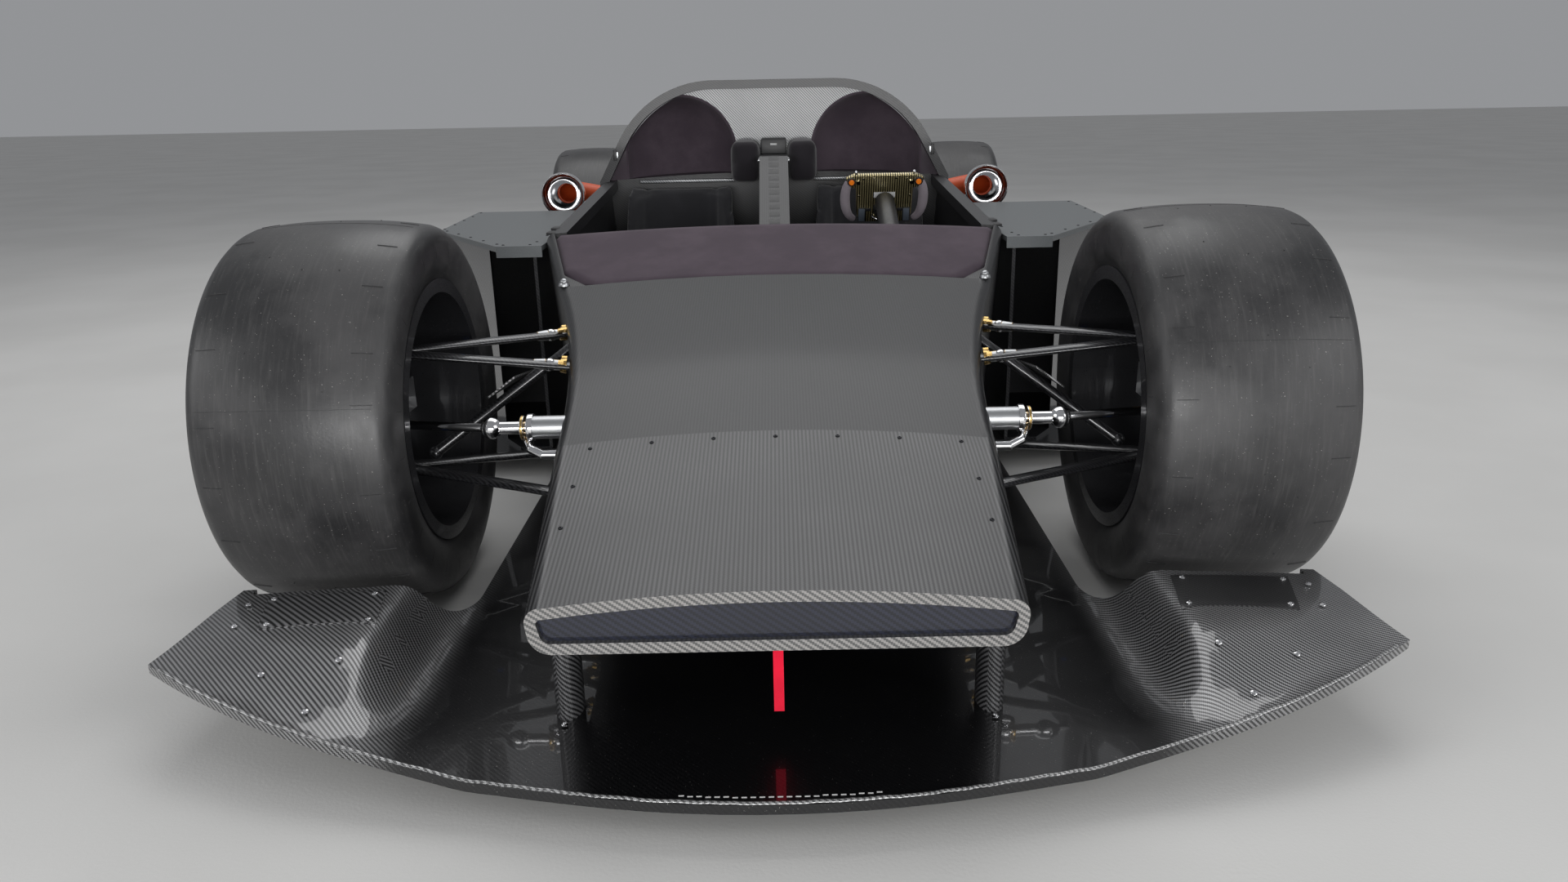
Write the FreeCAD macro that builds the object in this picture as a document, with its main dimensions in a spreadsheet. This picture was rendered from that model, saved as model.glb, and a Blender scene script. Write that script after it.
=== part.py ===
# Open concept hypercar: carbon tub, exposed slick wheels, flat side panels and a wide front splitter.
# Millimetres, +Z up, the car faces -Y, +X is the car's own left side. Z = 0 is the ground.
# Every piece is drawn in the axle frame, where Y = 0 is the front axle, and its Placement
# then moves it so that Y = 0 is the middle of the car's length.
import FreeCAD, Part

import math
import os
import re

import Sketcher
from FreeCAD import Matrix, Placement, Rotation, Vector

doc = FreeCAD.newDocument("hypercar")

# ---------------------------------------------------------------- driving dimensions

sheet = doc.addObject("Spreadsheet::Sheet", "Sizes")
SIZES = [
    # whole car
    ("wheelbase", 2950), ("front_overhang", 830), ("rear_overhang", 700),
    # wheels: places along the axle are measured outwards from the wheel's middle
    ("tyre_radius", 355), ("tyre_width", 335), ("tread_width", 286), ("wheel_centre", 780),
    ("shoulder_drop", 10), ("shoulder_turn", 34), ("carcass", 13), ("bead_radius", 229),
    ("rim_width", 316), ("rim_flange", 17), ("rim_lip", 10), ("rim_wall", 8),
    ("spoke_count", 10), ("spoke_wide", 26), ("spoke_thick", 32), ("spoke_root", 104),
    ("spoke_tip", 122), ("wheel_boss", 64), ("lock_nut", 42), ("nut_proud", 24), ("hub_face", 92),
    ("hub_radius", 40), ("hub_bore", 26), ("hub_inner", -66), ("bearing_play", 0.5),
    ("disc_radius", 186), ("disc_outer_face", 60), ("disc_thick", 36), ("disc_web", 12),
    # uprights and brakes
    ("kingpin", 740), ("ball_rise", 112), ("upright_ring", 64), ("upright_inner", 722),
    ("upright_outer", 788), ("upright_beam", 56), ("pin_radius", 9), ("pin_play", 0.4),
    ("eye_radius", 20), ("eye_height", 20), ("eye_lift", 6), ("caliper_play", 6),
    ("caliper_wall", 18), ("caliper_inner", 118), ("caliper_angle", 56),
    ("steer_arm", 140), ("steer_arm_thick", 12), ("arm_wide", 34), ("arm_thick", 15),
    # steering
    ("rack_y", -190), ("rack_z", 372), ("rack_radius", 11), ("rack_play", 1), ("rack_case", 20),
    ("rack_case_half", 426), ("rack_knob_x", 492), ("rack_knob", 19), ("tie_rod_radius", 8),
    ("rod_eye_play", 6), ("rod_eye_wall", 8), ("rod_eye_tall", 16), ("arm_drop", 6),
    # tub: half width and corner height at five stations along it
    ("tub_nose_y", -300), ("tub_nose_half", 366), ("tub_nose_top", 372), ("tub_nose_low", 205),
    ("tub_axle_half", 392), ("tub_axle_top", 440), ("tub_axle_low", 172),
    ("dash_front_y", 380), ("dash_front_half", 476), ("dash_front_top", 520),
    ("dash_rear_y", 680), ("dash_rear_half", 556), ("dash_rear_top", 602),
    ("hoop_y", 1550), ("sill_half", 550), ("sill_top", 664), ("tub_crown", 20),
    ("tub_edge", 26), ("tub_tuck", 40), ("tub_wall", 30), ("sill_wide", 52), ("footwell_y", 60),
    # nose
    ("nose_front_y", -720), ("nose_front_half", 331), ("nose_front_top", 285), ("nose_front_low", 219),
    ("nose_front_tuck", 8),
    ("nose_wall", 16), ("end_panel_recess", 9), ("end_panel_thick", 8),
    # splitter
    ("floor_top", 62), ("floor_thick", 14), ("splitter_lift", 90), ("plateau_fall", 14),
    ("ramp_foot", 540), ("ramp_run", 96), ("edge_start", 420), ("edge_lift", 74), ("edge_bow", 2.1),
    ("droop_run", 190), ("mid_half", 267), ("mid_y", -802), ("mid_bend", 1287), ("lead_half", 580),
    ("lead_y", -727), ("lead_bend", 5760), ("side_bend", 1149), ("tip_half", 922), ("tip_y", -572),
    ("lug_half", 892), ("lug_y", -335), ("lug_in", 870), ("arch_y", -354), ("arch_half", 535),
    ("arch_corner", 150),
    ("splitter_end", 420), ("skin_columns", 64), ("skin_rows", 36),
    ("stay_x", 306), ("stay_y", -590), ("stay_wide", 40), ("stay_long", 74),
    ("strap_y", -686), ("strap_low", 108), ("strap_wide", 14), ("strap_thick", 5),
    # floor and diffuser
    ("floor_half", 900), ("floor_front", 640), ("floor_end", 2470), ("diffuser_half", 520),
    ("diffuser_rise", 190), ("diffuser_end", 3560), ("strake_thick", 8), ("strake_count", 5),
    # cockpit
    ("arch_top", 962), ("arch_lean", 62), ("arch_bend", 340), ("hoop_wide", 26), ("hoop_deep", 46),
    ("bulkhead_deep", 150), ("alcove_x", 290), ("alcove_half", 176), ("alcove_deep", 118),
    ("alcove_top", 922), ("alcove_spring", 740), ("lining", 6), ("pad_thick", 12), ("pad_margin", 4),
    ("spine_wide", 84), ("spine_front", 980), ("spine_low", 540), ("spine_top", 742),
    ("spine_knee", 1330), ("head_pad_wide", 90), ("head_pad_tall", 130), ("head_pad_gap", 2),
    ("head_pad_long", 140),
    ("chair_x", 290), ("chair_wide", 356), ("bolster", 52), ("bolster_wide", 54), ("chair_front", 850),
    ("chair_lip", 250), ("hip_y", 1215), ("hip_z", 168), ("chair_top", 655), ("back_thick", 62),
    ("chair_gap", 4),
    ("hand_wheel_x", 296), ("hand_wheel_y", 1000), ("hand_wheel_z", 650), ("hand_wheel_half", 108),
    ("hand_wheel_tall", 150), ("hand_wheel_thick", 26), ("hand_wheel_tilt", 22), ("grip_wide", 36),
    ("grip_tall", 128), ("grip_thick", 30), ("column_radius", 26), ("column_front", 560),
    ("column_pin", 12), ("column_gap", 6), ("column_bracket", 44),
    # side pods
    ("panel_z", 580), ("panel_thick", 12), ("panel_lip", 27), ("panel_front", 632),
    ("panel_rear", 1500), ("panel_nose_half", 668), ("panel_bend_half", 907), ("panel_bend_y", 990),
    ("panel_rear_half", 935), ("panel_play", 8), ("duct_inset", 18), ("duct_wall", 8),
    ("radiator_y", 1180), ("radiator_thick", 62), ("radiator_lean", 24),
    # power unit
    ("engine_rear", 2260), ("engine_half", 150), ("head_half", 262), ("engine_low", 80),
    ("engine_top", 470), ("valley_z", 360), ("plenum_half", 112), ("plenum_top", 640),
    ("box_behind", 90), ("box_half", 150), ("box_tail_half", 112), ("box_low", 96), ("box_tail_low", 250),
    ("box_top", 440), ("crash_end_half", 84), ("crash_end_low", 290), ("crash_end_top", 400),
    ("bell_x", 703), ("bell_y", 1690), ("bell_z", 612), ("bell_radius", 71), ("bell_throat", 36),
    ("bell_long", 78), ("bell_wall", 3), ("turbo_x", 470), ("turbo_y", 2010), ("turbo_z", 560),
    ("turbo_radius", 62), ("exhaust_radius", 38), ("exhaust_end", 2560),
    # rear corner
    ("shaft_radius", 14), ("shaft_inner", 140), ("output_radius", 46), ("output_face", 182),
    ("output_play", 6), ("pushrod_radius", 10), ("rod_end", 13),
    # fixings at the tail
    ("tail_hole", 5), ("tail_hole_deep", 30), ("tail_bolts_x", 110), ("tail_bolts_z", 60),
    ("pylon_bolts_x", 140), ("pylon_bolts_y", 260), ("pylon_ahead", 250),
]
for row, (alias, value) in enumerate(SIZES, start=1):
    sheet.set(f"A{row}", alias)
    sheet.set(f"B{row}", str(value))
    sheet.setAlias(f"B{row}", alias)
doc.recompute()
CELLS = {alias for alias, _ in SIZES}


def bind(expression):
    """The expression with each bare cell name turned into a reference to the sheet."""
    return re.sub(r"[a-z_]+", lambda word: f"Sizes.{word[0]}" if word[0] in CELLS else word[0],
                  str(expression))


def worth(expression):
    """What an expression of cell names comes to, as a number."""
    found = sheet.evalExpression(str(expression))
    return float(getattr(found, "Value", found))


FRONT_AXLE = "(front_overhang - rear_overhang - wheelbase) / 2"
REAR_AXLE = "(front_overhang - rear_overhang + wheelbase) / 2"
FAR = 3000

# ---------------------------------------------------------------- helpers

pieces = []


def place(piece, x="0", y=FRONT_AXLE, z="0", turn=Rotation()):
    """Gives a finished sub-part its Placement, with the base bound to the sheet."""
    piece.Placement = Placement(Vector(0, 0, 0), turn)
    for axis, expression in (("x", x), ("y", y), ("z", z)):
        piece.setExpression(f"Placement.Base.{axis}", bind(expression))
    pieces.append(piece)
    return piece


def shaped(label, shape):
    """A sub-part whose shape comes from Part's own functions, drawn in the axle frame."""
    made = doc.addObject("Part::Feature", label)
    made.Shape = shape
    return place(made)


def new_body(label):
    return doc.addObject("PartDesign::Body", label)


def sketch(body, role, name, outline, offset=None):
    """A closed outline on one of the body's origin planes. Each entry is a corner (u, v), or (u, v, r)
    where the edge that ends there is an arc of radius r that bulges to the right of its run; a minus
    sign before r makes it bulge left. Every number is an expression of cell names."""
    made = body.newObject("Sketcher::SketchObject", name)
    plane = next(f for f in body.Origin.OriginFeatures if f.Role == role)
    made.AttachmentSupport = [(plane, "")]
    made.MapMode = "FlatFace"
    if offset:
        made.setExpression("AttachmentOffset.Base.z", bind(offset))
    corners = [Vector(worth(c[0]), worth(c[1]), 0) for c in outline]
    ends = []
    for i, entry in enumerate(outline):
        start, end = corners[i - 1], corners[i]
        edge = Part.LineSegment(start, end)
        if len(entry) == 3:
            edge = bulged(start, end, worth(entry[2]))
        made.addGeometry(edge)
        forward = made.getPoint(i, 1).isEqual(start, 1e-4)
        ends.append((1, 2) if forward else (2, 1))
    for i, entry in enumerate(outline):
        before = (i - 1) % len(outline)
        made.addConstraint(Sketcher.Constraint("Coincident", before, ends[before][1], i, ends[i][0]))
        for kind, axis, expression in (("DistanceX", -2, entry[0]), ("DistanceY", -1, entry[1])):
            if expression == "0":
                made.addConstraint(Sketcher.Constraint("PointOnObject", i, ends[i][1], axis))
                continue
            length = Sketcher.Constraint(kind, -1, 1, i, ends[i][1], worth(expression))
            made.setExpression(f"Constraints[{made.addConstraint(length)}]", bind(expression))
        if len(entry) == 3:
            radius = Sketcher.Constraint("Radius", i, abs(worth(entry[2])))
            made.setExpression(f"Constraints[{made.addConstraint(radius)}]", bind(entry[2].lstrip("-")))
    return made


def bulged(start, end, radius):
    """An arc from start to end that bulges to the right of its run, or to the left if radius is minus."""
    chord = end - start
    side = Vector(chord.y, -chord.x, 0).normalize() * math.copysign(1, radius)
    sagitta = abs(radius) - math.sqrt(radius**2 - (chord.Length / 2) ** 2)
    return Part.Arc(start, (start + end) / 2 + side * sagitta, end)


def bored(body, role, centre, radius, depth, offset):
    """A round blind hole sunk against its plane's normal."""
    hole = body.newObject("Sketcher::SketchObject", "HoleOutline")
    plane = next(f for f in body.Origin.OriginFeatures if f.Role == role)
    hole.AttachmentSupport = [(plane, "")]
    hole.MapMode = "FlatFace"
    hole.setExpression("AttachmentOffset.Base.z", bind(offset))
    hole.addGeometry(Part.Circle(Vector(*centre, 0), Vector(0, 0, 1), worth(radius)))
    hole.addConstraint(Sketcher.Constraint("Coincident", 0, 3, -1, 1))
    size = hole.addConstraint(Sketcher.Constraint("Radius", 0, worth(radius)))
    hole.setExpression(f"Constraints[{size}]", bind(radius))
    made = body.newObject("PartDesign::Pocket", "Hole")
    made.Profile = hole
    made.setExpression("Length", bind(depth))
    return made


def revolved(body, outline, name="Turned"):
    """Turns an outline of (place along X, radius) once round the X axis."""
    profile = sketch(body, "XY_Plane", name + "Outline", outline)
    made = body.newObject("PartDesign::Revolution", name)
    made.Profile = profile
    made.ReferenceAxis = (profile, ["H_Axis"])
    made.Angle = 360
    return made


def padded(body, role, outline, length, offset=None, name="Pad", middle=False):
    """Pads an outline from its plane along the plane's normal, or to both sides of it."""
    made = body.newObject("PartDesign::Pad", name)
    made.Profile = sketch(body, role, name + "Outline", outline, offset)
    made.setExpression("Length", bind(length))
    if middle:
        made.SideType = "Symmetric"
    return made


def rounded(body, base, radius, wanted, name="Rounded", kind="PartDesign::Fillet"):
    """Rounds the edges of base whose ends pass the test wanted(first end, last end)."""
    doc.recompute()
    chosen = []
    for number, edge in enumerate(base.Shape.Edges, start=1):
        if len(edge.Vertexes) == 2 and wanted(edge.Vertexes[0].Point, edge.Vertexes[1].Point):
            chosen.append(f"Edge{number}")
    made = body.newObject(kind, name)
    made.Base = (base, chosen)
    made.setExpression("Radius" if kind.endswith("Fillet") else "Size", bind(radius))
    return made


def both_sides(label, piece):
    """One sub-part holding a left-hand piece and its mirror image."""
    other = doc.addObject("Part::Mirroring", label + "_right")
    other.Source = piece
    other.Normal = Vector(1, 0, 0)
    made = doc.addObject("Part::Compound", label)
    made.Links = [piece, other]
    return place(made)


def pair(shape):
    """A left-hand shape together with its mirror image, as one compound."""
    return Part.makeCompound([shape, shape.mirror(Vector(0, 0, 0), Vector(1, 0, 0))])


def block(low, high):
    """A box between two opposite corners."""
    span = Vector(*high) - Vector(*low)
    return Part.makeBox(span.x, span.y, span.z, Vector(*low))


def rod(start, end, radius):
    """A round bar between two points."""
    run = end - start
    return Part.makeCylinder(radius, run.Length, start, run)


def blade(start, end):
    """A suspension arm of flattened oval section between two points, its flat lying level."""
    run = end - start
    level = Vector(run.y, -run.x, 0).normalize()
    upright = level.cross(run).normalize()
    oval = Part.Ellipse(start + level * worth("arm_wide / 2"), start + upright * worth("arm_thick / 2"),
                        start)
    return Part.Face(Part.Wire(oval.toShape())).extrude(run)


def pipe(points, radius, bore=0):
    """A round tube whose middle line is a smooth curve through the points."""
    line = Part.BSplineCurve()
    line.interpolate(points)
    path = Part.Wire(line.toShape())
    start = line.tangent(line.FirstParameter)[0]
    solid = path.makePipeShell([Part.Wire(Part.Circle(points[0], start, radius).toShape())], True, False)
    if bore:
        solid = solid.cut(path.makePipeShell([Part.Wire(Part.Circle(points[0], start, bore).toShape())],
                                             True, False))
    return solid


# ---------------------------------------------------------------- tub and nose surfaces

def section(y, half, top, low, inset=0, tuck="tub_tuck"):
    """One cross-section of the tub or nose: a crowned top, round corners and sides that tuck in."""
    half, top, low = half - inset, top - inset, low + inset
    foot = half - worth(tuck)
    edge = max(worth("tub_edge") - inset, 4)
    soft = edge * (1 - math.sqrt(0.5))
    lean = (half - foot) / (top - low)

    def right(x, z):
        return Vector(x, y, z)

    def left(x, z):
        return Vector(-x, y, z)

    edges = [Part.LineSegment(left(foot - edge, low), right(foot - edge, low))]
    for flip, order in ((right, 1), (left, -1)):
        low_corner = Part.Arc(flip(foot - edge, low), flip(foot - soft, low + soft),
                              flip(foot + edge * lean, low + edge))
        side = Part.LineSegment(flip(foot + edge * lean, low + edge), flip(half - edge * lean, top - edge))
        high_corner = Part.Arc(flip(half - edge * lean, top - edge), flip(half - soft, top - soft + 1),
                               flip(half - edge, top + 1))
        edges += [low_corner, side, high_corner][::order]
    edges.insert(4, Part.Arc(right(half - edge, top + 1), right(0, top + worth("tub_crown")),
                             left(half - edge, top + 1)))
    return Part.Wire([edge.toShape() for edge in edges])


STATIONS = [
    ("tub_nose_y", "tub_nose_half", "tub_nose_top", "tub_nose_low"),
    ("0", "tub_axle_half", "tub_axle_top", "tub_axle_low"),
    ("dash_front_y", "dash_front_half", "dash_front_top", "floor_top"),
    ("dash_rear_y", "dash_rear_half", "dash_rear_top", "floor_top"),
    ("(dash_rear_y + hoop_y) / 2", "(dash_rear_half + sill_half) / 2 + 2", "(dash_rear_top + sill_top) / 2",
     "floor_top"),
    ("hoop_y", "sill_half", "sill_top", "floor_top"),
    ("hoop_y + bulkhead_deep", "sill_half - 6", "sill_top", "floor_top"),
]


def tub_solid(inset=0, first="tub_nose_y", last="hoop_y + bulkhead_deep"):
    """The tub's outer form, or the same form shrunk by inset, cut to lie between two places along Y."""
    wires = [section(*(worth(value) for value in station), inset) for station in STATIONS]
    solid = Part.makeLoft(wires[:3], True, False)
    for front, back in zip(wires[2:], wires[3:]):
        solid = solid.fuse(Part.makeLoft([front, back], True, True))
    keep = block((-FAR, worth(first), -FAR), (FAR, worth(last), FAR))
    return solid.common(keep)


def nose_solid(inset=0):
    ends = [worth(f"nose_front_{value}") for value in ("y", "half", "top", "low")]
    front = section(*ends, inset, "nose_front_tuck")
    back = section(*(worth(value) for value in STATIONS[0]), inset)
    return Part.makeLoft([front, back], True, True)


def arch_face(inset, y):
    """The hoop's outline across the car, shrunk by inset, standing on the sills at one place along Y."""
    half, foot, top = worth("sill_half"), worth("floor_top + tub_wall"), worth("arch_top")
    sill, shoulder = worth("sill_top"), worth("sill_half - arch_lean * 2.6")
    corners = [Vector(-half, y, foot), Vector(half, y, foot), Vector(half, y, sill),
               Vector(shoulder, y, top)]
    corners += [Vector(-shoulder, y, top), Vector(-half, y, sill)]
    arch = Part.Face(Part.makePolygon(corners + corners[:1]))
    if inset:
        arch = Part.Face(arch.OuterWire.makeOffset2D(-inset))
    return arch


def arch_prism(inset, first, last):
    """The arch between two places along Y, with its two upper corners bent round."""
    solid = arch_face(inset, first).extrude(Vector(0, last - first, 0))
    upper = [e for e in solid.Edges if along_y(e) and e.CenterOfMass.z > worth("arch_top") - inset - 1]
    return solid.makeFillet(worth("arch_bend") - inset, upper)


def along_y(edge):
    run = edge.Vertexes[-1].Point - edge.Vertexes[0].Point
    return abs(run.y) > 1 and abs(run.x) + abs(run.z) < 1e-3


tub_form = tub_solid()
nose_form = nose_solid()

# ---------------------------------------------------------------- wheels

CORNERS = [("front", FRONT_AXLE), ("rear", REAR_AXLE)]
SIDES = [("left", 1, Rotation()), ("right", -1, Rotation(Vector(0, 0, 1), 180))]


def tyre(label):
    """A slick tyre: a shallow crowned tread, round shoulders, bulged walls and beads on the rim's seats."""
    made = new_body(label)
    bead, seat = "rim_width / 2 - rim_lip", "bead_radius"
    wall, top = "tyre_width / 2", "tyre_radius"
    flank = "tyre_radius - shoulder_drop - shoulder_turn"
    tread = "tread_width / 2"
    outline = [
        (bead, seat), (bead, "bead_radius + rim_flange + 4"),
        (wall, "bead_radius + rim_flange + 34", "60"), (wall, flank), (tread, "tyre_radius - shoulder_drop",
                                                                       "46"),
        ("0", top, "1000"), (f"-({tread})", "tyre_radius - shoulder_drop", "1000"), (f"-({wall})", flank,
                                                                                     "46"),
        (f"-({wall})", "bead_radius + rim_flange + 34"), (f"-({bead})", "bead_radius + rim_flange + 4",
                                                          "60"),
        (f"-({bead})", seat), (f"-({bead}) + carcass", seat),
        (f"-({wall}) + carcass + 2", "bead_radius + rim_flange + 34", "-80"),
        (f"-({wall}) + carcass + 2", flank), (f"-({tread}) + 8", "tyre_radius - shoulder_drop - carcass"),
        (f"{tread} - 8", "tyre_radius - shoulder_drop - carcass"), (f"{wall} - carcass - 2", flank),
        (f"{wall} - carcass - 2", "bead_radius + rim_flange + 34"), (f"{bead} - carcass", seat, "-80"),
    ]
    revolved(made, outline)
    return made


def rim(label):
    """A forged centre-lock rim: a barrel with two flanges, straight spokes and a boss with its lock nut."""
    made = new_body(label)
    edge, lip, seat = "rim_width / 2", "rim_width / 2 - rim_lip", "bead_radius"
    crest, inside = "bead_radius + rim_flange", "bead_radius - rim_wall"
    barrel = [(edge, crest), (lip, crest), (lip, seat), (f"-({lip})", seat), (f"-({lip})", crest),
              (f"-({edge})", crest), (f"-({edge})", inside), (edge, inside)]
    revolved(made, barrel, "Barrel")
    tip_in, tip_out = "spoke_tip", "spoke_tip + spoke_thick"
    root_in, root_out = "spoke_root", "spoke_root + spoke_thick - 8"
    spoke = [(root_in, "wheel_boss - 12"), (root_out, "wheel_boss - 12"), (tip_out, f"{inside} + 3"),
             (tip_in, f"{inside} + 3")]
    arm = padded(made, "XY_Plane", spoke, "spoke_wide", name="Spoke", middle=True)
    ring = made.newObject("PartDesign::PolarPattern", "Spokes")
    ring.Originals = [arm]
    ring.Axis = (arm.Profile[0], ["H_Axis"])
    ring.Angle = 360
    ring.setExpression("Occurrences", bind("spoke_count"))
    made.Tip = ring
    boss_face = "spoke_root + spoke_thick - 4"
    boss = [("hub_face", "0"), (boss_face + " + nut_proud", "0"), (boss_face + " + nut_proud", "lock_nut"),
            (boss_face, "lock_nut"), (boss_face, "wheel_boss"), ("hub_face", "wheel_boss")]
    revolved(made, boss, "Boss")
    return made


def brake_disc(label):
    """The hub's stub shaft and flange, with the brake disc and its bell in one turned piece."""
    made = new_body(label)
    inner, outer = "disc_outer_face - disc_thick", "disc_outer_face"
    web_in, web_out = f"{outer} - disc_thick / 2 - disc_web / 2", f"{outer} - disc_thick / 2 + disc_web / 2"
    outline = [("hub_inner", "hub_bore"), ("20", "hub_bore"), ("20", "0"), ("hub_face", "0"),
               ("hub_face", "wheel_boss"), ("hub_face - 10", "wheel_boss"), (f"{web_out}",
                                                                             "wheel_boss + 18"),
               (web_out, "caliper_inner"), (outer, "caliper_inner"), (outer, "disc_radius"),
                (inner, "disc_radius"),
               (inner, "caliper_inner"), (web_in, "caliper_inner"), (web_in, "hub_radius"), ("hub_inner",
                                                                                             "hub_radius")]
    revolved(made, outline)
    return made


def upright(side, steered):
    """An upright for one wheel, drawn in the axle frame at its own axle: the ring round the hub's bearing,
    the beam with its two pivot pins, the brake caliper on its lug and, if steered, the steering arm."""
    axle, kingpin = worth("tyre_radius"), worth("kingpin")
    inner, outer = worth("upright_inner"), worth("upright_outer")
    centre = Vector(inner, 0, axle)
    out = Vector(1, 0, 0)
    beam_top = worth("ball_rise - eye_height / 2 - eye_lift")
    half_beam = worth("upright_beam / 2")
    made = Part.makeCylinder(worth("upright_ring"), outer - inner, centre, out)
    made = made.fuse(block((inner, -half_beam, axle - beam_top),
                           (kingpin + half_beam, half_beam, axle + beam_top)))
    reach = worth("ball_rise + eye_height / 2 + 4")
    made = made.fuse(rod(Vector(kingpin, 0, axle - reach), Vector(kingpin, 0, axle + reach),
                         worth("pin_radius")))
    hub_middle = worth("wheel_centre")
    disc_face = hub_middle + worth("disc_outer_face")
    play, wall = worth("caliper_play"), worth("caliper_wall")
    low, high = disc_face - worth("disc_thick") - play - wall, disc_face + play + wall
    rear_turn = worth("caliper_angle / 2")
    sector = Part.makeCylinder(worth("disc_radius") + play + wall, high - low, Vector(low, 0, axle), out,
                               worth("caliper_angle"))
    sector.rotate(Vector(0, 0, axle), out, -rear_turn)
    sector.rotate(Vector(0, 0, axle), out, caliper_side(sector))
    core = Part.makeCylinder(worth("caliper_inner + disc_web"), high - low, Vector(low, 0, axle), out)
    room = Part.makeCylinder(worth("disc_radius") + play, worth("disc_thick") + 2 * play,
                             Vector(low + wall, 0, axle), out)
    caliper = sector.cut(core).cut(room)
    lug = block((inner + 10, half_beam, axle - 32),
                (low + wall, worth("caliper_inner + disc_web") + 12, axle + 32))
    made = made.fuse(caliper).fuse(lug)
    if steered:
        made = made.fuse(steering_arm(inner))
    bore = Part.makeCylinder(worth("hub_radius + bearing_play"), FAR, centre - out * 200, out)
    made = made.cut(bore)
    return made if side > 0 else made.mirror(Vector(0, 0, 0), Vector(1, 0, 0))


def caliper_side(sector):
    """How far to turn a sector about the axle so that it lies behind the axle."""
    middle = sector.CenterOfMass - Vector(sector.CenterOfMass.x, 0, worth("tyre_radius"))
    return -math.degrees(math.atan2(middle.z, middle.y))


def steering_arm(inner):
    """The arm that reaches forward from the ring to the tie rod's pin."""
    top = worth("rack_z - rod_eye_tall / 2 - arm_drop")
    thick, kingpin, reach = worth("steer_arm_thick"), worth("kingpin"), worth("steer_arm")
    arm = block((inner, -reach, top - thick), (kingpin + 14, -worth("upright_ring") + 14, top))
    arm = arm.fuse(Part.makeCylinder(18, thick, Vector(kingpin, -reach, top - thick)))
    pin = Part.makeCylinder(worth("pin_radius - 3"), worth("rod_eye_tall + arm_drop + 4"),
                            Vector(kingpin, -reach, top))
    return arm.fuse(pin)


# ---------------------------------------------------------------- suspension and steering

def chassis_arms(ball, feet):
    """One wishbone: two blades from pick-ups on the body to the ring at its outer pivot."""
    tall, radius = worth("eye_height"), worth("eye_radius")
    ring = Part.makeCylinder(radius, tall, ball - Vector(0, 0, tall / 2))
    for foot in feet:
        ring = ring.fuse(blade(foot, ball))
    return ring.cut(Part.makeCylinder(worth("pin_radius + pin_play"), tall * 2, ball - Vector(0, 0, tall)))


def pivot(y, rise):
    return Vector(worth("kingpin"), y, worth("tyre_radius") + rise)


def wishbones(axle, upper_feet, lower_feet, carrier):
    """The upper and the lower wishbone of one corner, ending on the surface of what carries them."""
    rise = worth("ball_rise")
    upper = chassis_arms(pivot(axle, rise), upper_feet).cut(carrier)
    lower = chassis_arms(pivot(axle, -rise), lower_feet).cut(carrier)
    return Part.makeCompound([upper, lower])


def pushrod(axle, top, carrier, arms):
    """The rod from the lower wishbone's outer end up to its rocker inside the body."""
    foot = Vector(worth("kingpin") - 72, axle + 12, worth("tyre_radius - ball_rise") + 16)
    run = (top - foot).normalize()
    made = rod(foot, top, worth("pushrod_radius"))
    made = made.fuse(Part.makeSphere(worth("rod_end"), foot + run * 8))
    return made.cut(carrier).cut(arms)


def steering_rack():
    """The rack bar with a tie rod at each end. The rods' outer eyes are open around the steering arms'
    pins, because the rack slides in a straight line while those pins swing in an arc."""
    y, z, knob_x = worth("rack_y"), worth("rack_z"), worth("rack_knob_x")
    hole = worth("pin_radius - 3 + rod_eye_play")
    outer, tall = hole + worth("rod_eye_wall"), worth("rod_eye_tall")
    rack = rod(Vector(-knob_x, y, z), Vector(knob_x, y, z), worth("rack_radius"))
    for sign in (1, -1):
        knob, pin = Vector(sign * knob_x, y, z), Vector(sign * worth("kingpin"), -worth("steer_arm"), z)
        run = (pin - knob).normalize()
        low = pin - Vector(0, 0, tall / 2)
        side = Part.makeSphere(worth("rack_knob"), knob)
        side = side.fuse(rod(knob, pin - run * (hole + 3), worth("tie_rod_radius")))
        side = side.fuse(Part.makeCylinder(outer, tall, low))
        side = side.cut(Part.makeCylinder(hole, tall * 2, pin - Vector(0, 0, tall)))
        rack = rack.fuse(side)
    return rack


def rack_case(radius):
    half = worth("rack_case_half")
    return Part.makeCylinder(radius, 2 * half, Vector(-half, worth("rack_y"), worth("rack_z")),
                             Vector(1, 0, 0))


# ---------------------------------------------------------------- tub, hoop and cockpit

def dash_pad():
    """The padded top of the dash: a layer over the tub from side to side."""
    first, last = "dash_front_y", "dash_rear_y"
    top = tub_solid(0, first, last)
    layer = top.cut(top.translated(Vector(0, 0, -worth("pad_thick"))))
    inner = (worth("dash_front_half - tub_edge + pad_margin"),
             worth("dash_rear_half - tub_edge + pad_margin"))
    plan = [Vector(-inner[0], worth(first), 0), Vector(inner[0], worth(first), 0)]
    plan += [Vector(inner[1], worth(last), 0), Vector(-inner[1], worth(last), 0)]
    return layer.common(Part.Face(Part.makePolygon(plan + plan[:1])).extrude(Vector(0, 0, FAR)))


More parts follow.
